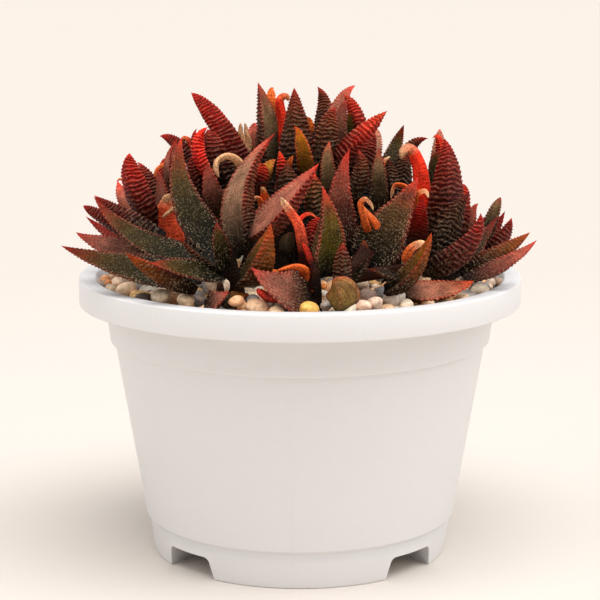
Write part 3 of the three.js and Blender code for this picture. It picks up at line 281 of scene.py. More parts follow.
             (-0.5, -0.8, 0), keel=0.7, lit=0.7),
        Leaf("bright", (15, 12, 155), (19.3, 10, 147.3), (22, 12, 133), 5.5, AWAY, taper=2.4, lit=0.6),
        Leaf("bright", (29, -6, 151), (19.7, -6, 141.8), (11, 2, 130), 8.5,
             (-0.2, 1, 0.3), taper=1.8, lit=0.7),
        Leaf("maroon", (25, 6, 143), (23, 6, 137), (18, 6, 123), 7, AWAY),
        Leaf("pale", (26.5, 16, 143), (26, 14, 136), (23, 12, 122), 4.5, AHEAD, taper=2.2),
        Leaf("dark", (19, -16, 139), (20, -18, 132), (16, -6, 119), 6, AWAY),
        Leaf("brown_grey", (10, -16, 142), (9, -16, 134), (11, -6, 118), 5.5,
             (0.3, -1, 0.2), lit=1.3, bare=0.35),
    ], small=[
        Leaf("green", (17, 8, 149.5), (16.5, 8, 145), (15, 8, 133), 4.5, AHEAD),
    ]),
    Rosette("mid_right", "brown", (30, -6, 97), (0.1, -0.1, 0.99), (8, 28, 9), leaves=[
        Leaf("brown_grey", (26, -12, 139), (26, -14, 130), (26, -11, 114), 6.5, (-0.4, -0.9, 0)),
        Leaf("dark", (30, -8, 135), (30, -10, 130), (33, -8, 117), 5.5, AWAY, lit=0.45),
        Leaf("green", (36, 20, 144), (32.5, 18, 135), (27, 6, 123), 6, AHEAD),
        Leaf("dark", (44, 12, 140), (37, 12, 135.5), (33, 2, 123), 6, AWAY),
        Leaf("dark", (36, 2, 135), (35, 0, 130), (34, -3, 119), 6.5, AWAY, lit=0.7),
        Leaf("crimson", (40, -22, 124), (39, -22, 117), (38, -15, 105), 7, AHEAD, taper=1.2),
    ], curls=[
        Curl("bright", "beige", 6.4, path=[
            (42, -6, 113.5), (41.5, -8, 121.5), (40.7, -8, 127), (40, -8, 132.5), (38, -8, 137),
            (36, -8, 138.5), (34.5, -8, 137.5), (33.5, -8, 135)]),
        Curl("orange", "beige", 2.8, path=[
            (38, -12, 117), (38, -22, 124.5), (39.5, -23, 126), (41, -23, 126), (42, -23, 124)]),
        Curl("orange", "beige", 3, path=[
            (37.5, -10, 117.5), (36.5, -15, 124.5), (34.5, -16, 127), (32.5, -16, 127.5),
            (31, -16, 127), (30, -16, 123)]),
        Curl("orange", "beige", 2.4, path=[
            (28.5, 0, 126.5), (28.5, 0, 133), (29.5, 0, 134.5), (30.5, 0, 135)]),
    ], small=[
        Leaf("shade_black", (22, -6, 126.5), (21.5, -8, 121.5), (21, -10, 112), 9, AWAY),
    ]),
    Rosette("right", "maroon", (46, -24, 95), (0.3, -0.1, 0.95), (6, 24, 8), leaves=[
        Leaf("dark", (56, -16, 125), (50, -18, 116), (46, -18, 102), 9, AWAY, lit=0.6),
        Leaf("maroon", (57, -44, 122), (53, -42, 112), (40, -33, 102), 12, (-0.6, 0.9, 0.6), taper=1.3),
        Leaf("olive", (76, -18, 112), (66, -23, 106), (53, -22, 99), 8, (-0.2, 1, 0.4)),
        Leaf("pink", (77, -28, 111), (67, -32, 104.8), (53, -31, 98.5), 6.5, (0, -0.6, 1)),
    ]),
    Rosette("right_high", "maroon", (46, -4, 95), (0.05, 0, 1), (10, 32, 10), leaves=[
        Leaf("maroon", (48, -8, 142), (49, -10, 126), (46, -6, 100), 12.5, (-0.1, 1, 0.2), taper=1.5),
    ]),
    Rosette("far_right", "red", (57, 8, 94), (0.3, 0.1, 0.95), (6, 22, 8), leaves=[
        Leaf("maroon", (72, 2, 114), (68.5, -2, 107.5), (62, 4, 98), 6.5, AWAY),
        Leaf("brown_grey", (69, 10, 120), (66.3, 8, 114.3), (61, 7, 99), 5.5, (-0.5, -0.8, 0.2)),
        Leaf("pink", (62, 16, 117), (59, 14, 111), (59, 11, 97), 5, AHEAD),
        Leaf("bright", (55, 10, 124), (55.5, 8, 120), (55.5, 8, 105), 5.5, AWAY, taper=2.6),
    ]),
    Rosette("back_right", "red", (45, 28, 94), (0.1, 0.1, 0.98), (12, 34, 10), leaves=[
        Leaf("pale", (49, 26, 142), (48.6, 25, 132), (48.5, 25, 107), 6.5, AHEAD),
        Leaf("bright", (46, 22, 139), (49, 22, 135), (48, 24, 112), 4, AWAY),
    ], small=[
        Leaf("maroon", (47.5, 18, 134.5), (46, 18, 130), (47.5, 22, 117.5), 3, AWAY),
        Leaf("green", (48.5, 16, 135.5), (46.5, 16, 129.5), (49, 20, 116), 5, (0.3, -1, 0.3)),
    ]),
    Rosette("rear_left", "maroon", (-50, 22, 93), (-0.35, 0.25, 0.9), (12, 36, 12)),
    Rosette("rear_middle_left", "green", (-24, 42, 93), (-0.15, 0.4, 0.9), (13, 38, 12)),
    Rosette("rear_middle", "red", (6, 44, 94), (0, 0.35, 0.95), (13, 40, 12)),
    Rosette("rear_right", "brown", (31, 46, 93), (0.2, 0.4, 0.9), (12, 36, 11)),
]

# Skins by part of the leaf, as the eye sees them: upper face, ridged back, margin and tip.
# Dots is how thickly pale tubercles cover the face. Ribbed is how far ridges show on the
# face, and backed how far they do on the back.
Skin = namedtuple("Skin", "face back margin tip dots ribbed backed", defaults=(0.05, 1))
SKINS = {
    "green": Skin((62, 65, 10), (66, 52, 12), (134, 46, 28), (170, 48, 36), 1.0),
    "warty": Skin((68, 60, 20), (70, 52, 16), (140, 46, 32), (178, 50, 38), 1.3, 0.3),
    "dark": Skin((74, 60, 28), (92, 58, 28), (132, 44, 30), (172, 48, 36), 0.9, 0.3),
    "grey": Skin((150, 121, 97), (92, 44, 21), (150, 50, 34), (182, 54, 40), 1.0),
    "brown_grey": Skin((128, 112, 82), (100, 52, 30), (150, 50, 34), (182, 54, 40), 1.0),
    "mauve": Skin((158, 106, 88), (120, 54, 40), (172, 58, 44), (200, 62, 48), 1.0),
    "maroon": Skin((124, 48, 36), (124, 36, 25), (156, 42, 30), (196, 48, 36), 0.6, 0.4),
    "red": Skin((170, 48, 34), (168, 36, 24), (194, 48, 34), (210, 56, 42), 0.4, 0.5),
    "crimson": Skin((190, 34, 18), (158, 27, 14), (190, 40, 24), (210, 54, 36), 0.3, 0.4),
    "bright": Skin((220, 62, 34), (222, 50, 26), (228, 74, 44), (238, 104, 64), 0.3, 0.6),
    "pink": Skin((188, 112, 92), (158, 66, 52), (200, 66, 52), (214, 74, 58), 0.8),
    "folded": Skin((138, 78, 60), (150, 52, 38), (196, 62, 48), (208, 60, 46), 0.9),
    "olive": Skin((122, 88, 18), (126, 76, 12), (176, 66, 26), (206, 86, 38), 0.9, 0.1, 0.35),
    "ochre": Skin((206, 150, 52), (190, 122, 38), (212, 112, 46), (224, 106, 56), 0.3),
    "orange": Skin((242, 130, 64), (248, 112, 50), (242, 118, 62), (250, 138, 80), 0.2),
    "beige": Skin((250, 196, 144), (255, 190, 136), (250, 186, 136), (255, 196, 146), 0.0),
    "ember": Skin((236, 92, 56), (238, 88, 54), (236, 92, 60), (246, 150, 104), 0.0),
    "dry": Skin((170, 104, 58), (132, 70, 36), (188, 104, 58), (216, 150, 96), 0.0, 0.5),
    "bud": Skin((124, 110, 58), (118, 102, 56), (136, 96, 60), (222, 86, 74), 0.2, 0.0, 0.03),
    "lying": Skin((182, 128, 104), (128, 96, 40), (204, 74, 30), (240, 84, 8), 0.5),
    "pale": Skin((214, 162, 134), (206, 144, 116), (214, 118, 92), (226, 132, 108), 0.1),
    # Near-black: painted shade, for stems and leaves deep in the clump.
    "shade_black": Skin((20, 12, 8), (22, 13, 8), (34, 16, 11), (46, 22, 14), 0.1, 0.8),
}
# The skins that further leaves take, by the colour of their rosette.
GROWN_SKINS = {
    "green": ("green", "dark", "green", "brown_grey"),
    "brown": ("dark", "brown_grey", "olive", "dark"),
    "maroon": ("maroon", "mauve", "dark", "maroon"),
    "red": ("red", "maroon", "bright", "dark"),
}


# ---- Small tools ---------------------------------------------------------

# The kind of a mesh's layer and the field that holds its values, by numbers to a point.
LAYER_KINDS = {1: ("FLOAT", "value"), 3: ("FLOAT_VECTOR", "vector"), 4: ("FLOAT_COLOR", "color")}


def seeded_random(seed):
    """A repeatable draw between 0 and 1."""
    state = seed
    while True:
        state = (1664525 * state + 1013904223) % 4294967296
        yield state / 4294967296


def linear(colour):
    """A colour as the eye sees it, 0 to 255, in the linear light that a shader mixes."""
    share = np.asarray(colour, float) / 255
    return np.where(share <= 0.04045, share / 12.92, ((share + 0.055) / 1.055) ** 2.4)


def opaque(colour):
    """A colour as the eye sees it, for a shader's socket."""
    return (*linear(colour), 1)


def within_white(tints):
    """Tints that are brighter than a surface can be, scaled down without a change of hue."""
    return tints / np.maximum(tints.max(axis=-1, keepdims=True) / BRIGHTEST, 1)


def unit(vector):
    vector = np.asarray(vector, float)
    return vector / np.linalg.norm(vector)


def unit_rows(vectors):
    return vectors / np.linalg.norm(vectors, axis=1, keepdims=True)


def deselect():
    if bpy.context.mode != "OBJECT":
        bpy.ops.object.mode_set(mode="OBJECT")
    bpy.ops.object.select_all(action="DESELECT")


def pick(piece, faces=None):
    """Makes one piece the only selected one, and selects in it the faces that a test picks."""
    deselect()
    piece.select_set(True)
    bpy.context.view_layer.objects.active = piece
    if faces:
        bpy.ops.object.mode_set(mode="EDIT")
        bpy.ops.mesh.select_mode(type="FACE")
        bpy.ops.mesh.select_all(action="DESELECT")
        bpy.ops.object.mode_set(mode="OBJECT")
        for face in piece.data.polygons:
            face.select = faces(face)
        bpy.ops.object.mode_set(mode="EDIT")


def settle(piece, name):
    """Puts a finished piece's place into its mesh and names it."""
    pick(piece)
    bpy.ops.object.transform_apply(location=True, rotation=True, scale=True)
    piece.name = name
    piece.data.name = name
    return piece


def modify(piece, kind, **settings):
    pick(piece)
    modifier = piece.modifiers.new(kind.title(), kind)
    for key, value in settings.items():
        setattr(modifier, key, value)
    bpy.ops.object.modifier_apply(modifier=modifier.name)


def copy_of(piece, name):
    """A copy of a modelled piece with a mesh of its own."""
    copy = bpy.data.objects.new(name, piece.data.copy())
    bpy.context.scene.collection.objects.link(copy)
    return copy


def join(pieces, name):
    deselect()
    for piece in pieces:
        piece.select_set(True)
    bpy.context.view_layer.objects.active = pieces[0]
    bpy.ops.object.join()
    joined = bpy.context.object
    joined.name = name
    joined.data.name = name
    return joined


def paint(mesh, **layers):
    """Keeps values for each point of a mesh, for its material to read."""
    for name, values in layers.items():
        values = np.ascontiguousarray(values, np.float32).reshape(len(mesh.vertices), -1)
        kind, field = LAYER_KINDS[values.shape[1]]
        mesh.attributes.new(name, kind, "POINT").data.foreach_set(field, values.ravel())


def paint_all(mesh, colour):
    """Gives every point of a mesh one tint."""
    paint(mesh, tint=np.tile((*colour, 1), (len(mesh.vertices), 1)))


def paint_skin(mesh, tint, ribbed, dotted, across, turns):
    """Gives a leaf its tints, its ridges, its tubercles, and places across and along it."""
    every = np.ones(len(mesh.vertices))
    paint(mesh, tint=np.column_stack([within_white(tint), every]), ribbed=ribbed * every,
          dotted=dotted * every, skin_place=np.column_stack([across, turns, 0 * every]))


def points_of(mesh):
    points = np.empty(len(mesh.vertices) * 3)
    mesh.vertices.foreach_get("co", points)
    return points.reshape(-1, 3)


def put_points(mesh, points):
    mesh.vertices.foreach_set("co", np.ascontiguousarray(points, np.float32).ravel())
    mesh.update()


# ---- Materials -----------------------------------------------------------

BLOTCH_SCALE, FLECK_SCALE = 240.0, 1700.0
# The pale horn of the crests, partly a painted highlight, and the tubercles' colour.
HORN_SHEEN, HORN_SHEEN_SHARE = (0.62, 0.40, 0.26, 1.0), 0.16
TUBERCLE, TUBERCLE_SHARE = (0.52, 0.38, 0.22, 1.0), 0.6
SOIL_DARK, SOIL_LIGHT = (38, 28, 20), (84, 66, 48)
PLASTIC_CLEAN, PLASTIC_SCUFFED = (232, 230, 230), (228, 226, 225)
# Where the mould's seam fades in across the wall, and towards its front, in metres.
SEAM_EDGES, SEAM_FRONT = (-0.0034, -0.0018), (-0.02, -0.03)


class Sheet:
    """A node tree that is filled by short calls."""

    def __init__(self, tree):
        self.tree = tree

    def node(self, kind, values=(), **settings):
        node = self.tree.nodes.new(kind)
        for key, value in settings.items():
            setattr(node, key, value)
        for key, value in dict(values).items():
            if isinstance(value, bpy.types.NodeSocket):
                self.tree.links.new(value, node.inputs[key])
            else:
                node.inputs[key].default_value = value
        return node

    def painted(self, name, output="Fac"):
        return self.node("ShaderNodeAttribute", attribute_name=name).outputs[output]

    def place(self):
        return self.node("ShaderNodeTexCoord").outputs["Object"]

    def calc(self, operation, first, second=0.0, third=0.0):
        values = {0: first, 1: second, 2: third}
        return self.node("ShaderNodeMath", values, operation=operation).outputs[0]

    def times(self, product, *factors):
        for factor in factors:
            product = self.calc("MULTIPLY", product, factor)
        return product

    def mix(self, share, first, second, blend="MIX"):
        values = {0: share, 6: first, 7: second}
        return self.node("ShaderNodeMix", values, data_type="RGBA", blend_type=blend).outputs[2]

    def shaded(self, colour, shade):
        """A colour that is made darker or lighter by a shade."""
        grey = self.node("ShaderNodeCombineColor", {0: shade, 1: shade, 2: shade}).outputs[0]
        return self.mix(1.0, colour, grey, "MULTIPLY")

    def span(self, value, low, high, to_low=0.0, to_high=1.0):
        return self.node("ShaderNodeMapRange", {
            "Value": value, "From Min": low, "From Max": high, "To Min": to_low, "To Max": to_high,
        }).outputs[0]

    def stretched(self, place, *scale):
        return self.node("ShaderNodeMapping", {"Vector": place, "Scale": scale}).outputs[0]

    def noise(self, place, scale, detail=3.0):
        return self.node("ShaderNodeTexNoise", {
            "Vector": place, "Scale": scale, "Detail": detail, "Roughness": 0.55,
        }).outputs["Fac"]

    def feed(self, shader, values):
        for key, value in values.items():
            self.tree.links.new(value, shader.inputs[key])

    def bump(self, shader, height, strength, distance):
        bump = self.node("ShaderNodeBump", {"Height": height, "Strength": strength, "Distance": distance})
        self.feed(shader, {"Normal": bump.outputs[0]})


def group(name, inputs, outputs):
    """An empty node group with named sockets, and the sheet to fill it by."""
    tree = bpy.data.node_groups.new(name, "ShaderNodeTree")
    for label, kind in inputs:
        tree.interface.new_socket(label, in_out="INPUT", socket_type="NodeSocket" + kind)
    for label, kind in outputs:
        tree.interface.new_socket(label, in_out="OUTPUT", socket_type="NodeSocket" + kind)
    sheet = Sheet(tree)
    return tree, sheet, sheet.node("NodeGroupInput").outputs, sheet.node("NodeGroupOutput").inputs


def material(name, roughness, specular=0.5):
    finish = bpy.data.materials.new(name)
    finish.use_nodes = True
    sheet = Sheet(finish.node_tree)
    shader = finish.node_tree.nodes["Principled BSDF"]
    shader.inputs["Roughness"].default_value = roughness
    shader.inputs["Specular IOR Level"].default_value = specular
    return finish, sheet, shader


def light_within(shader, share, reach, scale):
    """Lets light scatter under a surface, each colour as far as its reach."""
    shader.inputs["Subsurface Weight"].default_value = share
    shader.inputs["Subsurface Radius"].default_value = reach
    shader.inputs["Subsurface Scale"].default_value = scale


def leaf_skin_group():
    """A leaf's skin: its painted colours under broken ridges, with painted shade in their grooves and
    painted highlight on their crests, streaks and pale tubercles.
    """
    tree, sheet, given, made = group("leaf_skin", [
        ("Groove Shade", "Float"), ("Mottle", "Float"),
    ], [("Color", "Color"), ("Roughness", "Float"), ("Height", "Float")])
    link = tree.links.new
    tint, ribbed, dotted = sheet.painted("tint", "Color"), sheet.painted("ribbed"), sheet.painted("dotted")
    skin_place = sheet.painted("skin_place", "Vector")
    place = sheet.place()
    blotch = sheet.noise(place, BLOTCH_SCALE)
    fleck = sheet.noise(place, FLECK_SCALE)

    # One step of Y in the skin's place is one ridge, and one step of X is a millimetre across.
    wander = sheet.calc("MULTIPLY_ADD", sheet.noise(skin_place, 0.7, 2.0), 0.7, -0.35)
    turns = sheet.calc("ADD", sheet.node("ShaderNodeSeparateXYZ", {0: skin_place}).outputs[1], wander)
    crest = sheet.span(sheet.calc("COSINE", sheet.times(turns, math.tau)), 0.55, -1.0)
    broken = sheet.noise(sheet.stretched(skin_place, 0.75, 1.6, 1.0), 1.0, 1.0)
    rib = sheet.times(crest, sheet.span(broken, 0.36, 0.60, 0.25, 1.0), ribbed)
    groove_shade = sheet.times(sheet.calc("SUBTRACT", 1.0, crest), ribbed)

    squeezed = sheet.stretched(skin_place, 0.95, 1.0, 1.0)
    cells = sheet.node("ShaderNodeTexVoronoi", {"Vector": squeezed, "Scale": 1.8, "Randomness": 0.75})
    dot = sheet.times(sheet.span(cells.outputs["Distance"], 0.46, 0.22), dotted)
    lengthwise = sheet.noise(sheet.stretched(skin_place, 1.9, 0.12, 1.0), 1.0, 2.0)
    streak = sheet.span(lengthwise, 0.3, 0.7, 0.72, 1.3)

    mottle = sheet.calc("MULTIPLY_ADD", sheet.calc("SUBTRACT", blotch, 0.5), given["Mottle"], 1.0)
    mottle = sheet.times(mottle, sheet.span(fleck, 0.3, 0.7, 0.5, 1.5))
    # Painted shade darkens the grooves and painted highlight lifts the crests, under the mottle and streaks.
    shade = sheet.calc("SUBTRACT", 1.0, sheet.times(given["Groove Shade"], groove_shade))
    shade = sheet.times(shade, mottle, streak, sheet.calc("MULTIPLY_ADD", rib, 0.35, 0.92))
    skin = sheet.shaded(tint, shade)
    # Crests and tubercles are horny and paler, the more so where they are highest; on the crests this is
    # partly a painted highlight.
    worn_and_lit = sheet.mix(HORN_SHEEN_SHARE, skin, HORN_SHEEN)
    skin = sheet.mix(sheet.calc("POWER", rib, 2.0), skin, worn_and_lit)
    link(sheet.mix(dot, skin, sheet.mix(TUBERCLE_SHARE, skin, TUBERCLE)), made["Color"])
    link(sheet.span(rib, 0.0, 1.0, 0.55, 0.34), made["Roughness"])
    height = sheet.calc("MULTIPLY_ADD", fleck, 0.2, sheet.times(rib, 0.7))
    link(sheet.calc("ADD", height, sheet.times(dot, 0.9)), made["Height"])
    return tree


def leaf_material(name, skin, mottle, groove_shade):
    finish, sheet, shader = material(name, 0.5, 0.09)
    layer = sheet.node("ShaderNodeGroup", node_tree=skin)
    layer.inputs["Groove Shade"].default_value = groove_shade
    layer.inputs["Mottle"].default_value = mottle
    sheet.feed(shader, {"Base Color": layer.outputs["Color"], "Roughness": layer.outputs["Roughness"]})
    sheet.bump(shader, layer.outputs["Height"], 0.7, 0.0004)
    light_within(shader, 0.06, (0.004, 0.0012, 0.0006), 0.5)
    return finish


def grain_group():
    """Fine grain for mineral and moulded surfaces: a mask that varies, and a height."""
    tree, sheet, given, made = group("grain", [("Scale", "Float")], [("Mask", "Float"), ("Height", "Float")])
    place = sheet.place()
    coarse = sheet.noise(place, given["Scale"], 4.0)
    fine = sheet.noise(place, sheet.times(given["Scale"], 6.0), 2.0)
    tree.links.new(coarse, made["Mask"])
    tree.links.new(sheet.calc("MULTIPLY_ADD", fine, 0.4, coarse), made["Height"])
    return tree


def grained(sheet, grain, scale):
    """The grain's mask and its height, at a scale."""
    layer = sheet.node("ShaderNodeGroup", node_tree=grain)
    layer.inputs["Scale"].default_value = scale
    return layer.outputs["Mask"], layer.outputs["Height"]


def stone_material(grain):
    finish, sheet, shader = material("river_pebble", 0.62)
    mask, height = grained(sheet, grain, 900.0)
    sheet.bump(shader, height, 0.35, 0.0004)
    colour = sheet.shaded(sheet.painted("tint", "Color"), sheet.span(mask, 0.3, 0.7, 0.66, 1.3))
    sheet.feed(shader, {"Base Color": colour, "Roughness": sheet.span(mask, 0.3, 0.7, 0.7, 0.5)})
    return finish


def soil_material(grain):
    finish, sheet, shader = material("potting_soil", 0.95, 0.2)
    mask, height = grained(sheet, grain, 500.0)
    sheet.bump(shader, height, 0.9, 0.002)
    colour = sheet.mix(sheet.span(mask, 0.35, 0.7), opaque(SOIL_DARK), opaque(SOIL_LIGHT))
    sheet.feed(shader, {"Base Color": colour})
    return finish


def plastic_material(grain):
    """White moulded plastic, with a faint seam of the mould down the front of its wall."""
    finish, sheet, shader = material("white_plastic", 0.38, 0.45)
    mask, grain_height = grained(sheet, grain, 700.0)
    x, y, z = sheet.node("ShaderNodeSeparateXYZ", {0: sheet.place()}).outputs
    on_wall = sheet.span(z, BAND_FOOT * MM, (BAND_FOOT - 2) * MM)
    seam = sheet.times(sheet.span(x, *SEAM_EDGES), sheet.span(y, *SEAM_FRONT), on_wall)
    sheet.bump(shader, sheet.calc("MULTIPLY_ADD", grain_height, 0.05, seam), 0.5, 0.0002)
    colour = sheet.mix(mask, opaque(PLASTIC_CLEAN), opaque(PLASTIC_SCUFFED))
    sheet.feed(shader, {"Base Color": colour, "Roughness": sheet.span(mask, 0.3, 0.7, 0.34, 0.44)})
    light_within(shader, 0.15, (0.004, 0.003, 0.0025), 0.6)
    return finish


# ---- Pot -----------------------------------------------------------------

def turned_shell(name, outline, sides):
    """A closed shell: a ring is drawn, drawn out along the outline, and capped at both ends."""
    deselect()
    radius, height = outline[0]
    bpy.ops.mesh.primitive_circle_add(vertices=sides, radius=radius * MM,
                                      location=(0, 0, height * MM), fill_type="NGON")
    shell = bpy.context.object
    bpy.ops.object.transform_apply(location=True)
    bpy.ops.object.mode_set(mode="EDIT")
    bpy.ops.mesh.select_all(action="SELECT")
    for next_radius, next_height in outline[1:]:
        bpy.ops.mesh.extrude_region_move(
            TRANSFORM_OT_translate={"value": (0, 0, (next_height - height) * MM)})
        share = next_radius / radius
        bpy.ops.transform.resize(value=(share, share, 1), center_override=(0, 0, next_height * MM))
        radius, height = next_radius, next_height
    bpy.ops.mesh.select_all(action="SELECT")
    bpy.ops.mesh.normals_make_consistent(inside=False)
    bpy.ops.object.mode_set(mode="OBJECT")
    shell.name = name
    return shell


def notch_cutter(angle):
    """A gateway between two feet: wider towards the middle, its upper corners rounded."""
    deselect()
    length = NOTCH_END - NOTCH_START
    bpy.ops.mesh.primitive_cube_add(size=1)
    cutter = bpy.context.object
    cutter.scale = (length * MM, 2 * NOTCH_TOP_HALF * MM, (NOTCH_TOP + 2) * MM)
    cutter.location = ((NOTCH_START + NOTCH_END) / 2 * MM, 0, (NOTCH_TOP - 2) / 2 * MM)
    bpy.ops.object.transform_apply(location=True, rotation=True, scale=True)
    for corner in cutter.data.vertices:
        if corner.co.z < 0:
            corner.co.y *= NOTCH_FOOT_HALF / NOTCH_TOP_HALF
        widening = NOTCH_WIDENING * (FOOT_RADIUS - corner.co.x / MM) * MM
        corner.co.y += math.copysign(widening, corner.co.y)
    modify(cutter, "BEVEL", width=NOTCH_ROUND * MM, segments=4, limit_method="ANGLE")
    cutter.data.transform(Matrix.Rotation(math.radians(angle) - math.pi / 2, 4, "Z"))
    return cutter


def drain_cutter(angle):
    deselect()
    bpy.ops.mesh.primitive_cylinder_add(
        vertices=DRAIN_SIDES, radius=DRAIN_RADIUS * MM, depth=DRAIN_DEPTH * MM,
        location=(DRAIN_CIRCLE * MM * math.cos(angle), DRAIN_CIRCLE * MM * math.sin(angle),
                  FLOOR_UNDERSIDE * MM))
    return settle(bpy.context.object, "drain_cutter")


def cut(piece, cutter):
    modify(piece, "BOOLEAN", object=cutter, operation="DIFFERENCE", solver="EXACT")
    bpy.data.objects.remove(cutter)


def make_pot():
    floor = FLOOR_UNDERSIDE + WALL
    fold = RIM_TOP - WALL
    pot = turned_shell("pot_shell", [
        (CENTRE_RADIUS, FLOOR_UNDERSIDE), (FOOT_INNER_RADIUS, FLOOR_UNDERSIDE), (FOOT_INNER_RADIUS, 0),
        (FOOT_RADIUS, 0), (FOOT_TOP_RADIUS, FOOT_TOP), (SIDE_FOOT_RADIUS, FOOT_TOP + 0.5),
        (SIDE_TOP_RADIUS, BAND_FOOT), (BAND_FOOT_RADIUS, BAND_FOOT), (BAND_TOP_RADIUS, RIM_SKIRT_FOOT),
        (RIM_INNER_RADIUS + WALL, fold), (RIM_RADIUS - WALL, fold), (RIM_RADIUS - WALL, RIM_SKIRT_FOOT),
        (RIM_RADIUS, RIM_SKIRT_FOOT), (RIM_RADIUS, RIM_TOP), (RIM_INNER_RADIUS, RIM_TOP),
        (BAND_TOP_RADIUS - WALL, RIM_SKIRT_FOOT), (BAND_FOOT_RADIUS - WALL, BAND_FOOT),
        (SIDE_TOP_RADIUS - WALL, BAND_FOOT - WALL), (SIDE_FOOT_RADIUS - WALL, floor), (CENTRE_RADIUS, floor),
    ], ROUND)
    modify(pot, "BEVEL", width=EDGE_ROUND * MM, segments=3, limit_method="ANGLE", angle_limit=EDGE_ANGLE)
    for angle in NOTCH_ANGLES:
        cut(pot, notch_cutter(angle))
    for hole in range(DRAIN_HOLES):
        cut(pot, drain_cutter(hole / DRAIN_HOLES * math.tau))
    pick(pot)
    bpy.ops.object.shade_smooth_by_angle(angle=SMOOTH_ANGLE)
    return settle(pot, "pot_shell")


# ---- Pebbles -------------------------------------------------------------

STONE_COLOURS = [
    (226, 196, 160), (210, 172, 136), (236, 214, 188), (176, 152, 128), (140, 132, 126),
    (104, 100, 98), (86, 80, 76), (190, 142, 100), (158, 118, 94), (240, 226, 206), (222, 176, 116),
]
# The pebbles along the front of the pot, by place, radius and colour.
Stone = namedtuple("Stone", "x y z radius colour")
FRONT_STONES = [Stone(*row) for row in (
    (-65.5, 4, 92.8, 1.8, (150, 118, 92)), (-66.3, -1, 93, 1.6, (178, 126, 84)),
    (-66, -5.5, 92.6, 1.7, (110, 96, 84)), (66, -4, 92.8, 1.8, (128, 104, 86)),
    (65.8, 2, 92.8, 1.9, (104, 86, 72)), (-61.5, -19, 93, 2.6, (206, 180, 148)),
    (-64.5, -10, 93.5, 1.4, (196, 126, 72)), (-63, -14.5, 92, 1.9, (120, 110, 102)),
    (-56, -29, 94, 3, (236, 202, 166)), (-50, -39.5, 94, 2.4, (92, 82, 74)),
    (-44, -45, 94.5, 2.8, (238, 212, 182)), (-39.5, -43, 97, 2.4, (196, 164, 140)),
    (-36, -52, 94.5, 2.5, (238, 204, 168)), (-35.5, -47.5, 96.5, 1.3, (96, 90, 86)),
    (-32, -49, 96.5, 2.2, (138, 130, 124)), (-29.5, -45, 97, 1.4, (124, 116, 110)),
    (-27, -40.5, 101.5, 1.4, (132, 122, 112)), (-24, -46.5, 99.5, 3.2, (160, 140, 120)),
    (-19.5, -60.5, 96.5, 2.5, (184, 138, 100)), (-15.5, -56.5, 96, 2.2, (120, 112, 106)),
    (-14, -61.5, 94, 3.2, (222, 180, 142)), (-9.5, -58.5, 95, 1.6, (124, 116, 110)),
    (-6.5, -63.5, 94, 2.4, (230, 192, 152)), (3, -63, 95.5, 2.8, (240, 184, 92)),
    (5, -53.5, 98.5, 1.7, (84, 80, 78)), (7.5, -58, 95, 2, (128, 118, 108)),
    (12.5, -61.5, 94, 3.2, (240, 226, 200)), (18, -60.5, 95.5, 2.8, (186, 154, 132)),
    (21.5, -48, 96.5, 3.3, (104, 84, 72)), (20, -44, 99, 1.9, (206, 176, 148)),
    (23.5, -59, 95, 2.5, (152, 130, 112)), (25.5, -41, 100.5, 1.7, (100, 98, 96)),
    (28.5, -50, 95, 3.2, (150, 140, 130)), (33.5, -54, 94.5, 2.4, (238, 214, 186)),
    (40, -49.5, 94.5, 2, (228, 190, 152)), (52.5, -36, 93, 2.4, (222, 184, 146)),
    (58, -25, 93, 3.3, (200, 182, 158)), (64, -10.5, 93.5, 1.9, (146, 128, 112)),
    (7, -49, 99, 0.8, (228, 130, 58)),
)]
# Layers of further pebbles: tries, the smallest radius, its spread, and how near two may lie.
GRAVEL_LAYERS = [(5200, 2.4, 1.5, 0.86), (9000, 1.2, 0.8, 0.74)]
GRAVEL_SEED = 11
# How fine the given pebbles are, those of the first layer in front of a line, and the rest.
FRONT_FINENESS, SEEN_FINENESS, FINENESS = 4, 3, 2
SEEN_LINE = -30
# A pebble's lumps, its least share of its radius and the spread above it each way, how far
# it tips, how high it lies, and the painted light that brightens its colour.
LUMPS, LUMP_HEIGHT = 5, 0.16
STONE_SIZES = ((1, 0.15), (0.85, 0.15), (0.66, 0.24))
STONE_TIPPING, STONE_RISE, RISE_SPREAD = 0.9, 0.7, 1.6
STONE_LIGHT, STONE_LIGHT_SPREAD = 2.0, 0.7
BED_SIDES, BED_RINGS, BED_RING, BED_MARGIN, BED_TAPER = 72, 8, 6, 0.8, 0.955
# The bed's near-black tint is painted shade between the pebbles.
BED_SHADE_TINT = (20, 16, 12)


def stone_master(fineness):
    deselect()
    bpy.ops.mesh.primitive_ico_sphere_add(subdivisions=fineness, radius=1)
    stone = bpy.context.object
    bpy.ops.object.shade_smooth()
    return stone


def stone(master, place, radius, colour, draw):
    """One pebble: the modelled stone, squashed, turned and knocked out of round."""
    copy = copy_of(master, "stone")
    points = points_of(copy.data)
    lumps = np.array([[next(draw) * 2 - 1 for _ in range(3)] for _ in range(LUMPS)])
    for lump in lumps:
        points *= (1 + LUMP_HEIGHT * np.tanh(2 * (points @ lump)))[:, None]
    points *= [least + spread * next(draw) for least, spread in STONE_SIZES]
    turn = Matrix.Rotation(next(draw) * math.tau, 3, "Z")
    turn = turn @ Matrix.Rotation((next(draw) - 0.5) * STONE_TIPPING, 3, "X")
    put_points(copy.data, (points @ np.array(turn).T * radius + place) * MM)
    # Painted light brightens its colour.
    paint_all(copy.data, within_white(linear(colour) * (STONE_LIGHT + STONE_LIGHT_SPREAD * next(draw))))
    return copy


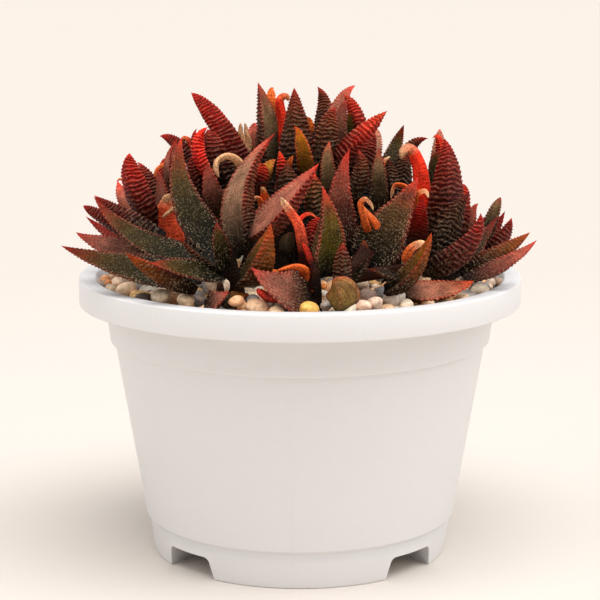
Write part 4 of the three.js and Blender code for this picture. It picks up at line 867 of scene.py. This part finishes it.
def gravel_bed():
    """The bed that shows between the pebbles, from the soil up to them, painted near-black as their shade.
    """
    deselect()
    bpy.ops.mesh.primitive_cylinder_add(
        vertices=BED_SIDES, radius=(GRAVEL_RADIUS - BED_MARGIN) * MM, depth=(GRAVEL_TOP - SOIL_TOP) * MM,
        location=(0, 0, (GRAVEL_TOP + SOIL_TOP) / 2 * MM))
    bed = settle(bpy.context.object, "gravel_bed")
    pick(bed, faces=lambda face: face.normal.z > 0.5)
    for _ in range(BED_RINGS):
        bpy.ops.mesh.inset(thickness=BED_RING * MM)
    bpy.ops.object.mode_set(mode="OBJECT")
    middle = (GRAVEL_TOP + SOIL_TOP) / 2 * MM
    for point in bed.data.vertices:
        if point.co.z < middle:
            point.co.x *= BED_TAPER
            point.co.y *= BED_TAPER
    paint_all(bed.data, linear(BED_SHADE_TINT))
    return bed


def lay_stones(laid, layer, draw):
    """Lays as many pebbles of a layer as find room between the others, and gives them back."""
    tries, smallest, spread, overlap = layer
    given = len(laid)
    for _ in range(tries):
        reach = GRAVEL_RADIUS * math.sqrt(next(draw))
        angle = next(draw) * math.tau
        radius = smallest + spread * next(draw)
        reach = min(reach, GRAVEL_RADIUS - radius * 0.9)
        x, y = reach * math.cos(angle), reach * math.sin(angle)
        others = np.array(laid)
        if np.all(np.hypot(x - others[:, 0], y - others[:, 1]) > overlap * (radius + others[:, 2])):
            laid.append((x, y, radius))
    return laid[given:]


def make_gravel():
    draw = seeded_random(GRAVEL_SEED)
    front, seen, hidden = [stone_master(f) for f in (FRONT_FINENESS, SEEN_FINENESS, FINENESS)]
    stones = [gravel_bed()]
    stones += [stone(front, given[:3], given.radius, given.colour, draw) for given in FRONT_STONES]
    laid = [(given.x, given.y, given.radius) for given in FRONT_STONES]
    for layer in GRAVEL_LAYERS:
        for x, y, radius in lay_stones(laid, layer, draw):
            height = GRAVEL_TOP + STONE_RISE * layer[1] + RISE_SPREAD * next(draw)
            colour = STONE_COLOURS[int(next(draw) * len(STONE_COLOURS))]
            master = seen if y < SEEN_LINE and layer is GRAVEL_LAYERS[0] else hidden
            stones.append(stone(master, (x, y, height), radius, colour, draw))
    for master in (front, seen, hidden):
        bpy.data.objects.remove(master)
    return join(stones, "pebbles")


# ---- Leaves --------------------------------------------------------------

# A leaf's section: across its face, which bulges a little, and from its margin to its keel.
FACE_ACROSS = (0.9, 0.72, 0.48, 0.24, 0.0, -0.24, -0.48, -0.72, -0.9)
FLANK_SHARES = (0.07, 0.2, 0.35, 0.5, 0.65, 0.8, 0.92)
FACE_BULGE = 0.10
# How round the back of a leaf is, and of one whose keel lies to one side.
ROUND_BACK, SHARP_BACK, SIDE_KEEL = 0.85, 0.55, 0.3
# How a leaf's face is hollowed: everywhere, at its root, and by a keel to one side.
HOLLOW, ROOT_HOLLOW, KEEL_HOLLOW = 0.05, 0.12, 0.22
# Where a leaf's margin, its keel and its horny edge begin.
MARGIN_START, KEEL_START, EDGE_START = 0.74, 0.8, 0.3
# The shares of the margin's and the teeth's tints, the light that painted shade leaves at
# the root, how bright a leaf is under the light, and how far leaves differ.
MARGIN_SHARE, TOOTH_SHARE, PAINTED_ROOT_LIGHT = 0.85, 0.3, 0.05
LEAF_LIGHT, LEAF_LEAST, LEAF_VARIETY = 0.84, 0.85, 0.3
# Painted shade darkens the clump up to a height; painted light lifts it by a share over the next
# millimetres.
CLUMP_SHADE, CLUMP_CLEARING, CROWN_LIGHT = 120, 30, 0.55


def leaf_section():
    """Points round a leaf: right margin, face, left margin, left flank, keel, right flank."""
    points = [(1.0, 0.0)] + [(x, FACE_BULGE * (1 - x * x)) for x in FACE_ACROSS] + [(-1.0, 0.0)]
    points += [(-1 + share, -share) for share in FLANK_SHARES] + [(0.0, -1.0)]
    points += [(1 - share, -share) for share in reversed(FLANK_SHARES)]
    return points


def prism(section, rings):
    """A column of unit height and of any section: a face drawn out ring by ring to a point."""
    deselect()
    bpy.ops.mesh.primitive_circle_add(vertices=len(section), radius=1, fill_type="NGON")
    column = bpy.context.object
    for point, (x, y) in zip(column.data.vertices, section):
        point.co = (x, y, 0)
    bpy.ops.object.mode_set(mode="EDIT")
    bpy.ops.mesh.select_all(action="SELECT")
    for _ in range(rings):
        bpy.ops.mesh.extrude_region_move(TRANSFORM_OT_translate={"value": (0, 0, 1 / rings)})
    bpy.ops.mesh.merge(type="CENTER")
    bpy.ops.mesh.select_all(action="SELECT")
    bpy.ops.mesh.normals_make_consistent(inside=False)
    bpy.ops.object.mode_set(mode="OBJECT")
    bpy.ops.object.shade_smooth()
    return column


def width_share(share, taper):
    """The share of its full width that a leaf has at a share of its length."""
    swell = np.sin(np.pi / 2 * np.minimum(share / LEAF_FULL_AT, 1))
    low = LEAF_ROOT_WIDTH + (1 - LEAF_ROOT_WIDTH) * swell
    high = 1 - np.maximum((share - LEAF_FULL_AT) / (1 - LEAF_FULL_AT), 0) ** taper
    return np.where(share < LEAF_FULL_AT, low, high)


def leaf_line(leaf, axis):
    """The three points that bend a leaf's middle line, and the direction of its upper face."""
    tip, root = np.array(leaf.tip, float), np.array(leaf.root, float)
    chord = unit(tip - root)
    face = axis if leaf.face is None else unit(leaf.face)
    face = unit(face - chord * face.dot(chord))
    return root, 2 * np.array(leaf.middle, float) - (root + tip) / 2, tip, face


def bowed_middle(root, tip, axis, bow):
    """The middle of a leaf that bows away from its rosette's axis."""
    chord = unit(tip - root)
    return (root + tip) / 2 - unit(axis - chord * axis.dot(chord)) * bow


def along_line(line, share):
    root, middle, tip, _ = line
    share = np.asarray(share)[..., None]
    place = (1 - share) ** 2 * root + 2 * share * (1 - share) * middle + share ** 2 * tip
    run = 2 * (1 - share) * (middle - root) + 2 * share * (tip - middle)
    return place, run


def ridge_turns(distance, across, phase, pitch):
    """How many cross ridges lie below a point; their lines wander, part and meet again."""
    wander = 0.16 * np.sin(across * 0.75 + phase * 5)
    wander += 0.12 * np.sin(distance * 0.55 + across + phase * 9)
    wander += (0.13 * np.sin(across * 1.7 - distance * 0.9 + phase * 31)
               * np.sin(distance * 0.37 + phase * 17))
    wander += (0.16 * np.sin(across * 0.5 + distance * 1.3 + phase * 23)
               * np.sin(across * 0.9 + phase * 13))
    return distance / pitch + phase + wander


def ramp(value, start, run):
    """0 up to a start, and from there up to 1 over a run."""
    return np.clip((value - start) / run, 0, 1)


def leaf_depth(leaf):
    return leaf.wide * LEAF_DEPTH if leaf.deep is None else leaf.deep


def painted_clump_light(places, least):
    """How much painted light a place in the clump gets: the least at its heart, all at its outside."""
    depth = np.linalg.norm((places - CLUMP_HEART) / CLUMP_REACH, axis=1)
    height = ramp(places[:, 2], CLUMP_SHADE, CLUMP_CLEARING)
    return np.clip((depth - 0.3) / 0.4, least, 1) * (1 + CROWN_LIGHT * height)


def leaf_tint(leaf, skin, share, upper, edge, crest):
    """A leaf's colours: its body, its redder margin and tip, and painted shade towards its root."""
    body = np.where(upper[:, None], linear(skin.face), linear(skin.back))
    tint = body + (linear(skin.margin) - body) * (MARGIN_SHARE * edge)[:, None]
    tint = tint + (np.array(TOOTH_TINT) - tint) * (TOOTH_SHARE * edge * crest ** 2)[:, None]
    redden = 0.10 * ramp(share, 0, 0.6) + 0.85 * ramp(share, 0.62, 0.38) ** 1.5
    tint = tint + (linear(skin.tip) - tint) * redden[:, None]
    # Painted shade darkens it towards its root.
    return tint * (PAINTED_ROOT_LIGHT + (1 - PAINTED_ROOT_LIGHT) * ramp(share, 0, leaf.bare) ** 1.5)[:, None]


def bent_leaf(master, leaf, axis, draw, least):
    """A leaf: the modelled column, given its width, keel, ridges and bend."""
    skin = SKINS[leaf.skin]
    copy = copy_of(master, "leaf")
    x, y, share = points_of(copy.data).T
    line = leaf_line(leaf, axis)
    centre, run = along_line(line, share)
    along = unit_rows(run)
    face = unit_rows(line[3] - along * (along @ line[3])[:, None])
    across = np.cross(face, along)
    distance = share * np.linalg.norm(np.array(leaf.tip) - np.array(leaf.root))
    wide = leaf.wide / 2
    phase, number = next(draw), 40 * next(draw)
    size = width_share(share, leaf.taper) * (1 + 0.02 * np.sin(distance * 0.7 + phase * 9))

    # A flank runs from its margin to the keel, which may lie to one side and is then sharper.
    upper = y > 0
    down = np.where(upper, 0, -y)
    side = np.where(x >= 0, 1.0, -1.0)
    roundness = ROUND_BACK if abs(leaf.keel) < SIDE_KEEL else SHARP_BACK
    belly = (1 - roundness) * down + roundness * np.sin(down * np.pi / 2)
    flat_x = np.where(upper, x, side * (1 - down) - leaf.keel * down)
    half = wide * size

    # Ridges arch across the leaf, and rise to teeth on its margins and its keel.
    pitch = RIDGE_PITCH * (0.88 + 0.24 * next(draw)) * (0.7 + 0.3 * min(leaf.wide / 11, 1.2))
    skin_across = np.where(upper, x * wide, side * (wide * (1 + down)))
    arch = 1.1 * np.where(upper, 0.6 * (1 - x * x), np.sin(down * np.pi / 2)) * wide / 5
    turns = ridge_turns(distance - arch, skin_across, phase, pitch)
    crest = (0.5 - 0.5 * np.cos(turns * math.tau)) ** 1.6
    at_margin = ramp(np.abs(x), MARGIN_START, 1 - MARGIN_START) * (np.abs(y) < 0.3)
    at_keel = ramp(down, KEEL_START, 1 - KEEL_START)
    near_edge = ramp(np.abs(x), EDGE_START, 0.6) ** 1.3
    fade = ramp(share, 0, 0.1) * ramp(1 - share, 0, 0.04) * np.clip(half / 1.6, 0.15, 1)
    ribbed = np.where(upper, skin.ribbed + (1 - skin.ribbed) * 0.45 * near_edge ** 2, skin.backed)
    out = (crest - 0.45) * RIDGE_HEIGHT * ribbed * (1 - at_margin) * fade
    teeth = crest * TOOTH_HEIGHT * min(4 * skin.backed, 1) * (at_margin + 0.5 * at_keel) * fade

    hollow = ROOT_HOLLOW * ramp(1 - 1.6 * share, 0, 1) + HOLLOW + KEEL_HOLLOW * abs(leaf.keel)
    sideways = flat_x * half + side * (teeth + np.where(upper, 0, out * (1 - down)))
    lift = np.where(upper, (0.9 * y - hollow * (1 - x * x)) * half + out,
                    -leaf_depth(leaf) * size * belly - out * (0.3 + 0.7 * down) - teeth * at_keel)
    put_points(copy.data, (centre + across * sideways[:, None] + face * lift[:, None]) * MM)

    edge = np.clip(at_margin + 0.4 * at_keel, 0, 1) * ramp(share, 0, 0.25)
    # Painted shade deep in the clump, and painted light at its crown.
    tint = leaf_tint(leaf, skin, share, upper, edge, crest) * painted_clump_light(centre, least)[:, None]
    # Lit scales each leaf: painted light above 1, painted shade below it.
    tint = LEAF_LIGHT * leaf.lit * tint ** DEEPENING * (LEAF_LEAST + LEAF_VARIETY * next(draw))
    dotted = skin.dots * np.where(upper, 0.35 + 0.65 * near_edge, 0.55) * np.clip(1.15 - share, 0, 1)
    shown = np.clip(fade, 0.2, 1)
    paint_skin(copy.data, tint, ribbed * shown, dotted * shown, skin_across * size + number, turns)
    return copy


def smooth_path(points, shares):
    """Places along a smooth line through points, evenly spaced, their directions, and its length."""
    points = np.array(points, float)
    ends = np.vstack([2 * points[0] - points[1], points, 2 * points[-1] - points[-2]])
    t = np.linspace(0, 1, PATH_STEPS, endpoint=False)[:, None]
    fine = []
    for a, b, c, d in zip(ends, ends[1:], ends[2:], ends[3:]):
        fine.append(0.5 * (2 * b + (c - a) * t + (2 * a - 5 * b + 4 * c - d) * t ** 2
                           + (3 * b - a - 3 * c + d) * t ** 3))
    fine = np.vstack([*fine, points[-1:]])
    walked = np.concatenate([[0], np.cumsum(np.linalg.norm(np.diff(fine, axis=0), axis=1))])
    places = np.column_stack([np.interp(shares * walked[-1], walked, fine[:, k]) for k in range(3)])
    return places, unit_rows(np.gradient(places, axis=0)), walked[-1]


def bent_curl(master, curl, start, draw):
    """A shrivelled leaf: the modelled column wound along its path, folded and ribbed."""
    copy = copy_of(master, "curl")
    x, y, share = points_of(copy.data).T
    stations = np.linspace(0, 1, CURL_RINGS + 1)
    places, runs, length = smooth_path([start, *curl.path], stations)
    side = unit(np.cross(runs[0], (0.3, 1, 0.2)))
    sides = []
    for run in runs:
        side = unit(side - run * side.dot(run))
        sides.append(side)
    ring = np.rint(share * CURL_RINGS).astype(int)
    normal = np.array(sides)[ring]
    other = np.cross(runs[ring], normal)
    turn = np.arctan2(y, x)
    distance = share * length
    phase = next(draw)
    wander = 0.3 * np.sin(turn * 2 + share * 9) + 0.3 * np.sin(turn * 3 - distance)
    lines = distance / CURL_PITCH + phase + wander
    ribs = 0.5 - 0.5 * np.cos(lines * math.tau)
    folds = 0.5 + 0.5 * np.cos(turn * 3 + 1.2 * np.sin(share * 7 + phase * 20) + phase * 6)
    radius = curl.wide / 2 * (1 - CURL_NARROWING * share ** 3)
    radius = radius * (CURL_HOLLOW + CURL_RIB * ribs + CURL_FOLD * folds) * np.sqrt(ramp(1 - share, 0, 0.06))
    place = places[ring] + normal * (radius * np.cos(turn))[:, None]
    place += other * (radius * CURL_FLATNESS * np.sin(turn))[:, None]
    put_points(copy.data, place * MM)
    low, high = linear(SKINS[curl.skin].back), linear(SKINS[curl.tip_skin].tip)
    tint = low + (high - low) * ramp(share, 0.82, 0.14)[:, None]
    # Painted light brightens it, the more on its raised ribs and folds.
    tint = within_white(tint * (1.3 + 0.3 * ribs + 0.5 * folds)[:, None])
    # Painted shade darkens its valleys and its foot.
    tint *= (0.7 + 0.3 * ramp(1.6 * folds, 0, 1))[:, None]
    tint *= (0.03 + 0.97 * ramp(share, curl.dark, 0.3))[:, None]
    paint_skin(copy.data, tint, CURL_RIBBED, 0.0, np.abs(turn) * curl.wide, lines)
    return copy


# ---- Rosettes ------------------------------------------------------------

Grown = namedtuple("Grown", "source axis heart rise leaves stem")


def stem_point(rosette, place):
    """The point of a rosette's stem that is level with a leaf's root."""
    rise = (np.array(place) - rosette.heart).dot(rosette.axis) - STEM_LOW
    return rosette.heart + rosette.axis * min(max(rise, 0), rosette.rise)


def body_balls(leaf, rosette):
    """Balls along a leaf's body, by which it is kept clear of other leaves."""
    line = leaf_line(leaf, rosette.axis)
    share = (np.arange(BODY_SAMPLES) + 0.5) / BODY_SAMPLES
    size = width_share(share, leaf.taper)
    centre = along_line(line, share)[0] + line[3] * (-leaf_depth(leaf) * size / 3)[:, None]
    return centre, leaf.wide * BODY_GIRTH * size, share > 0.5, rosette.source.name


def is_clear(balls, taken):
    centre, radius, outer, name = balls
    reach = np.hypot(centre[:, 0], centre[:, 1]) + radius
    lowest = np.where(reach > RIM_INNER_RADIUS, RIM_TOP + RIM_CLEARANCE, 0)
    if not np.all(centre[:, 2] - radius > lowest):
        return False
    for other_centre, other_radius, other_outer, other_name in taken:
        room = radius[:, None] + other_radius + LEAF_CLEARANCE
        near = np.linalg.norm(centre[:, None] - other_centre, axis=2) <= room
        if other_name == name:
            near &= outer[:, None] & other_outer
        if near.any():
            return False
    return True


def is_in_bounds(tip):
    crown = CROWN_TOP - CROWN_FALL * (tip[0] ** 2 + tip[1] ** 2)
    return LOWEST_LEAF < tip[2] < crown and tip[1] < REAR_LIMIT


def turned(vector, axis, angle):
    return (vector * math.cos(angle) + np.cross(axis, vector) * math.sin(angle)
            + axis * axis.dot(vector) * (1 - math.cos(angle)))


def shoot(rosette, spread, turn):
    """The way out from a rosette's axis at a turn, and that of a leaf that spreads there."""
    side = unit(np.cross((1, 0, 0), rosette.axis))
    outward = turned(side, rosette.axis, turn)
    return outward, rosette.axis * math.cos(spread) + outward * math.sin(spread)


def sprout(rosette, skin, root, along, reach, wide):
    """A leaf from a root, with the bow of grown leaves."""
    tip = root + along * reach
    return Leaf(skin, tip, bowed_middle(root, tip, rosette.axis, reach * GROWN_BOW), root, wide)


def stands_behind(rosette, balls):
    """Whether a leaf stays behind the front of a rosette whose leaves were placed."""
    front = rosette.heart[1] - FRONT_DEPTH if rosette.source.leaves else -RIM_RADIUS
    return np.all(balls[0][:, 1] > front)


def grow_leaves(rosette, taken, draw):
    """More leaves for a rosette, from its heart outwards, by the golden angle."""
    count, length, wide = rosette.source.grown
    skins = GROWN_SKINS[rosette.source.finish]
    for index in range(count):
        share = (index + 0.5) / count
        spread = math.radians(INNER_SPREAD + (OUTER_SPREAD - INNER_SPREAD) * share)
        outward, along = shoot(rosette, spread, index * GOLDEN_TURN)
        root = rosette.heart + rosette.axis * (rosette.rise + (OUTER_RISE - rosette.rise) * share)
        root = root + outward * rosette.stem * ROOT_REACH
        girth = INNER_SIZE + (1 - INNER_SIZE) * share
        full = length * girth * (1 - LENGTH_SPREAD + 2 * LENGTH_SPREAD * next(draw))
        for reach in (age * full for age in LEAF_AGES):
            leaf = sprout(rosette, skins[index % len(skins)], root, along, reach, wide * girth)
            balls = body_balls(leaf, rosette)
            if stands_behind(rosette, balls) and is_in_bounds(leaf.tip) and is_clear(balls, taken):
                rosette.leaves.append(leaf)
                taken.append(balls)
                break


def between(span, share):
    return span[0] + (span[1] - span[0]) * share


def resized(taken, share):
    return [(centre, radius * share, outer, name) for centre, radius, outer, name in taken]


def tuck_leaves(rosettes, taken, draw):
    """Slim leaves in the gaps, behind and below the others, deep in the clump, most of them painted
    near-black as shade.
    """
    inner = []
    wide_berth, taken = resized(taken, TUCKED_BERTH), resized(taken, TUCKED_GIRTH)
    for count in range(TUCKED_TRIES):
        rosette = rosettes[count % len(rosettes)]
        if not rosette.source.grown:
            continue
        spread = math.radians(between(TUCKED_SPREAD, next(draw)))
        outward, along = shoot(rosette, spread, next(draw) * math.tau)
        root = rosette.heart + rosette.axis * between(TUCKED_RISE, next(draw))
        root = root + outward * rosette.stem * ROOT_REACH
        length, wide = between(TUCKED_LENGTH, next(draw)), between(TUCKED_WIDE, next(draw))
        skin = TUCKED_SKINS[int(next(draw) * len(TUCKED_SKINS))]
        leaf = sprout(rosette, skin, root, along, length, wide)
        centre, radius, outer, _ = body_balls(leaf, rosette)
        balls = (centre, radius, np.ones(BODY_SAMPLES, bool), "tucked")
        slim = (centre, radius * TUCKED_GIRTH, outer, "tucked")
        if (stands_behind(rosette, balls) and is_in_bounds(leaf.tip)
                and is_clear(balls, wide_berth) and is_clear(slim, taken)):
            inner.append((rosette, leaf))
            taken.append(slim)
    return inner


def grow_plant():
    draw = seeded_random(GROWTH_SEED)
    rosettes = []
    for source in ROSETTES:
        heart, axis = np.array(source.heart, float), unit(source.lean)
        stem = STEM_RADIUS if source.grown else BUD_STEM_RADIUS
        rises = [(np.array(leaf.root) - heart).dot(axis) for leaf in source.leaves]
        rosettes.append(Grown(source, axis, heart, max(2 * stem, *rises, 0), list(source.leaves), stem))
    taken = [body_balls(leaf, rosette) for rosette in rosettes for leaf in rosette.leaves]
    for rosette in rosettes:
        if rosette.source.grown:
            grow_leaves(rosette, taken, draw)
    return rosettes, tuck_leaves(rosettes, taken, seeded_random(TUCKED_SEED))


def make_rosette(rosette, tucked, masters, draw):
    shown = len(rosette.source.leaves)
    parts = []
    for master, leaves, least in (("shown", rosette.leaves[:shown], OUTER_LIGHT),
                                  ("shown", rosette.source.small, OUTER_LIGHT),
                                  ("grown", rosette.leaves[shown:], INNER_LIGHT),
                                  ("tucked", tucked, INNER_LIGHT)):
        parts += [bent_leaf(masters[master], leaf, rosette.axis, draw, least) for leaf in leaves]
    foot = np.array([*rosette.heart[:2], SOIL_TOP])
    rise = rosette.rise + STEM_LOW
    # The stem is painted near-black as shade.
    stem = Curl("shade_black", "shade_black", STEM_GIRTH * rosette.stem,
                [rosette.heart + rosette.axis * rise * share for share in (0.0, 0.5, 1.0)])
    curls = [(curl, stem_point(rosette, curl.path[0])) for curl in rosette.source.curls]
    parts += [bent_curl(masters["curl"], curl, start, draw) for curl, start in (*curls, (stem, foot))]
    return join(parts, "leaves_" + rosette.source.name)


# ---- Putting it together -------------------------------------------------

SKIN_SEED = 23
# Each finish's mottle and the painted shade in its grooves.
FINISHES = {"green": (1.8, 0.50), "brown": (1.8, 0.52), "maroon": (1.5, 0.52), "red": (1.3, 0.42)}


def dress(piece, finish, slot, *nodes):
    piece.data.materials.clear()
    piece.data.materials.append(finish)
    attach(piece, "root")
    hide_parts(*nodes)


def make_leaves():
    skin = leaf_skin_group()
    finishes = {name: leaf_material("leaf_" + name, skin, *looks) for name, looks in FINISHES.items()}
    circle = [(math.cos(k / CURL_SIDES * math.tau), math.sin(k / CURL_SIDES * math.tau))
              for k in range(CURL_SIDES)]
    masters = {
        "shown": prism(leaf_section(), LEAF_RINGS), "grown": prism(leaf_section(), GROWN_RINGS),
        "tucked": prism(leaf_section(), TUCKED_RINGS), "curl": prism(circle, CURL_RINGS),
    }
    draw = seeded_random(SKIN_SEED)
    rosettes, tucked = grow_plant()
    for rosette in rosettes:
        inner = [leaf for owner, leaf in tucked if owner is rosette]
        piece = make_rosette(rosette, inner, masters, draw)
        finish = rosette.source.finish
        dress(piece, finishes[finish], "leaf_" + finish, "rosette_" + rosette.source.name)
    for master in masters.values():
        bpy.data.objects.remove(master)


grain = grain_group()
dress(make_pot(), plastic_material(grain), "pot_plastic", "pot")
dress(make_gravel(), stone_material(grain), "pebbles", "gravel")
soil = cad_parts["soil"]
soil.data.materials.clear()
soil.data.materials.append(soil_material(grain))
make_leaves()

# ---- Floor, light and camera ---------------------------------------------

# The floor is painted lighter near the pot than far from it: a painted pool of light.
FLOOR_NEAR, FLOOR_FAR = (218, 210, 202), (210, 202, 194)
FLOOR_RADIUS, FLOOR_SIDES = 80, 96
SKY, SKY_STRENGTH = (251, 250, 249), 0.47
# Far lights: how far to the right of the view, how high, how strong, and how wide, for
# soft shadows.
SUNS = [("window", 22, 72, 2.5, 56), ("sheet", 80, 42, 0.92, 50), ("fill", -75, 42, 0.62, 50)]
LENS, SENSOR = 113.32, 36
CAMERA_PLACE, LOOK_DOWN = (0, -0.63487, 0.20404), 0.184


def make_floor():
    deselect()
    bpy.ops.mesh.primitive_circle_add(vertices=FLOOR_SIDES, radius=FLOOR_RADIUS, fill_type="NGON")
    floor = settle(bpy.context.object, "floor")
    finish, sheet, shader = material("pale_floor", 0.9, 0.1)
    place = sheet.place()
    away = sheet.node("ShaderNodeVectorMath", {0: place}, operation="LENGTH").outputs["Value"]
    # Painted light towards the middle, with a little uneven tone.
    worn_and_lit = sheet.calc("MULTIPLY_ADD", sheet.noise(place, 60.0, 4.0), 0.12, sheet.span(away, 0.1, 0.6))
    colour = sheet.mix(worn_and_lit, opaque(FLOOR_NEAR), opaque(FLOOR_FAR))
    sheet.feed(shader, {"Base Color": colour})
    floor.data.materials.append(finish)


def make_sun(name, azimuth, elevation, strength, width):
    light = bpy.data.lights.new(name, "SUN")
    light.energy = strength
    light.angle = math.radians(width)
    lamp = bpy.data.objects.new(name, light)
    bpy.context.scene.collection.objects.link(lamp)
    turn, rise = math.radians(azimuth), math.radians(elevation)
    away = Vector((math.sin(turn) * math.cos(rise), -math.cos(turn) * math.cos(rise), math.sin(rise)))
    lamp.rotation_euler = away.to_track_quat("Z", "Y").to_euler()


make_floor()
for sun in SUNS:
    make_sun(*sun)

world = bpy.data.worlds.new("studio")
bpy.context.scene.world = world
world.use_nodes = True
sky = world.node_tree.nodes["Background"].inputs
sky["Color"].default_value = opaque(SKY)
sky["Strength"].default_value = SKY_STRENGTH
bpy.context.scene.view_settings.view_transform = "Standard"

lens = bpy.data.cameras.new("camera")
lens.sensor_width = SENSOR
lens.lens = LENS
camera = bpy.data.objects.new("camera", lens)
bpy.context.scene.collection.objects.link(camera)
camera.location = CAMERA_PLACE
camera.rotation_euler = (math.pi / 2 - LOOK_DOWN, 0, 0)
bpy.context.scene.camera = camera
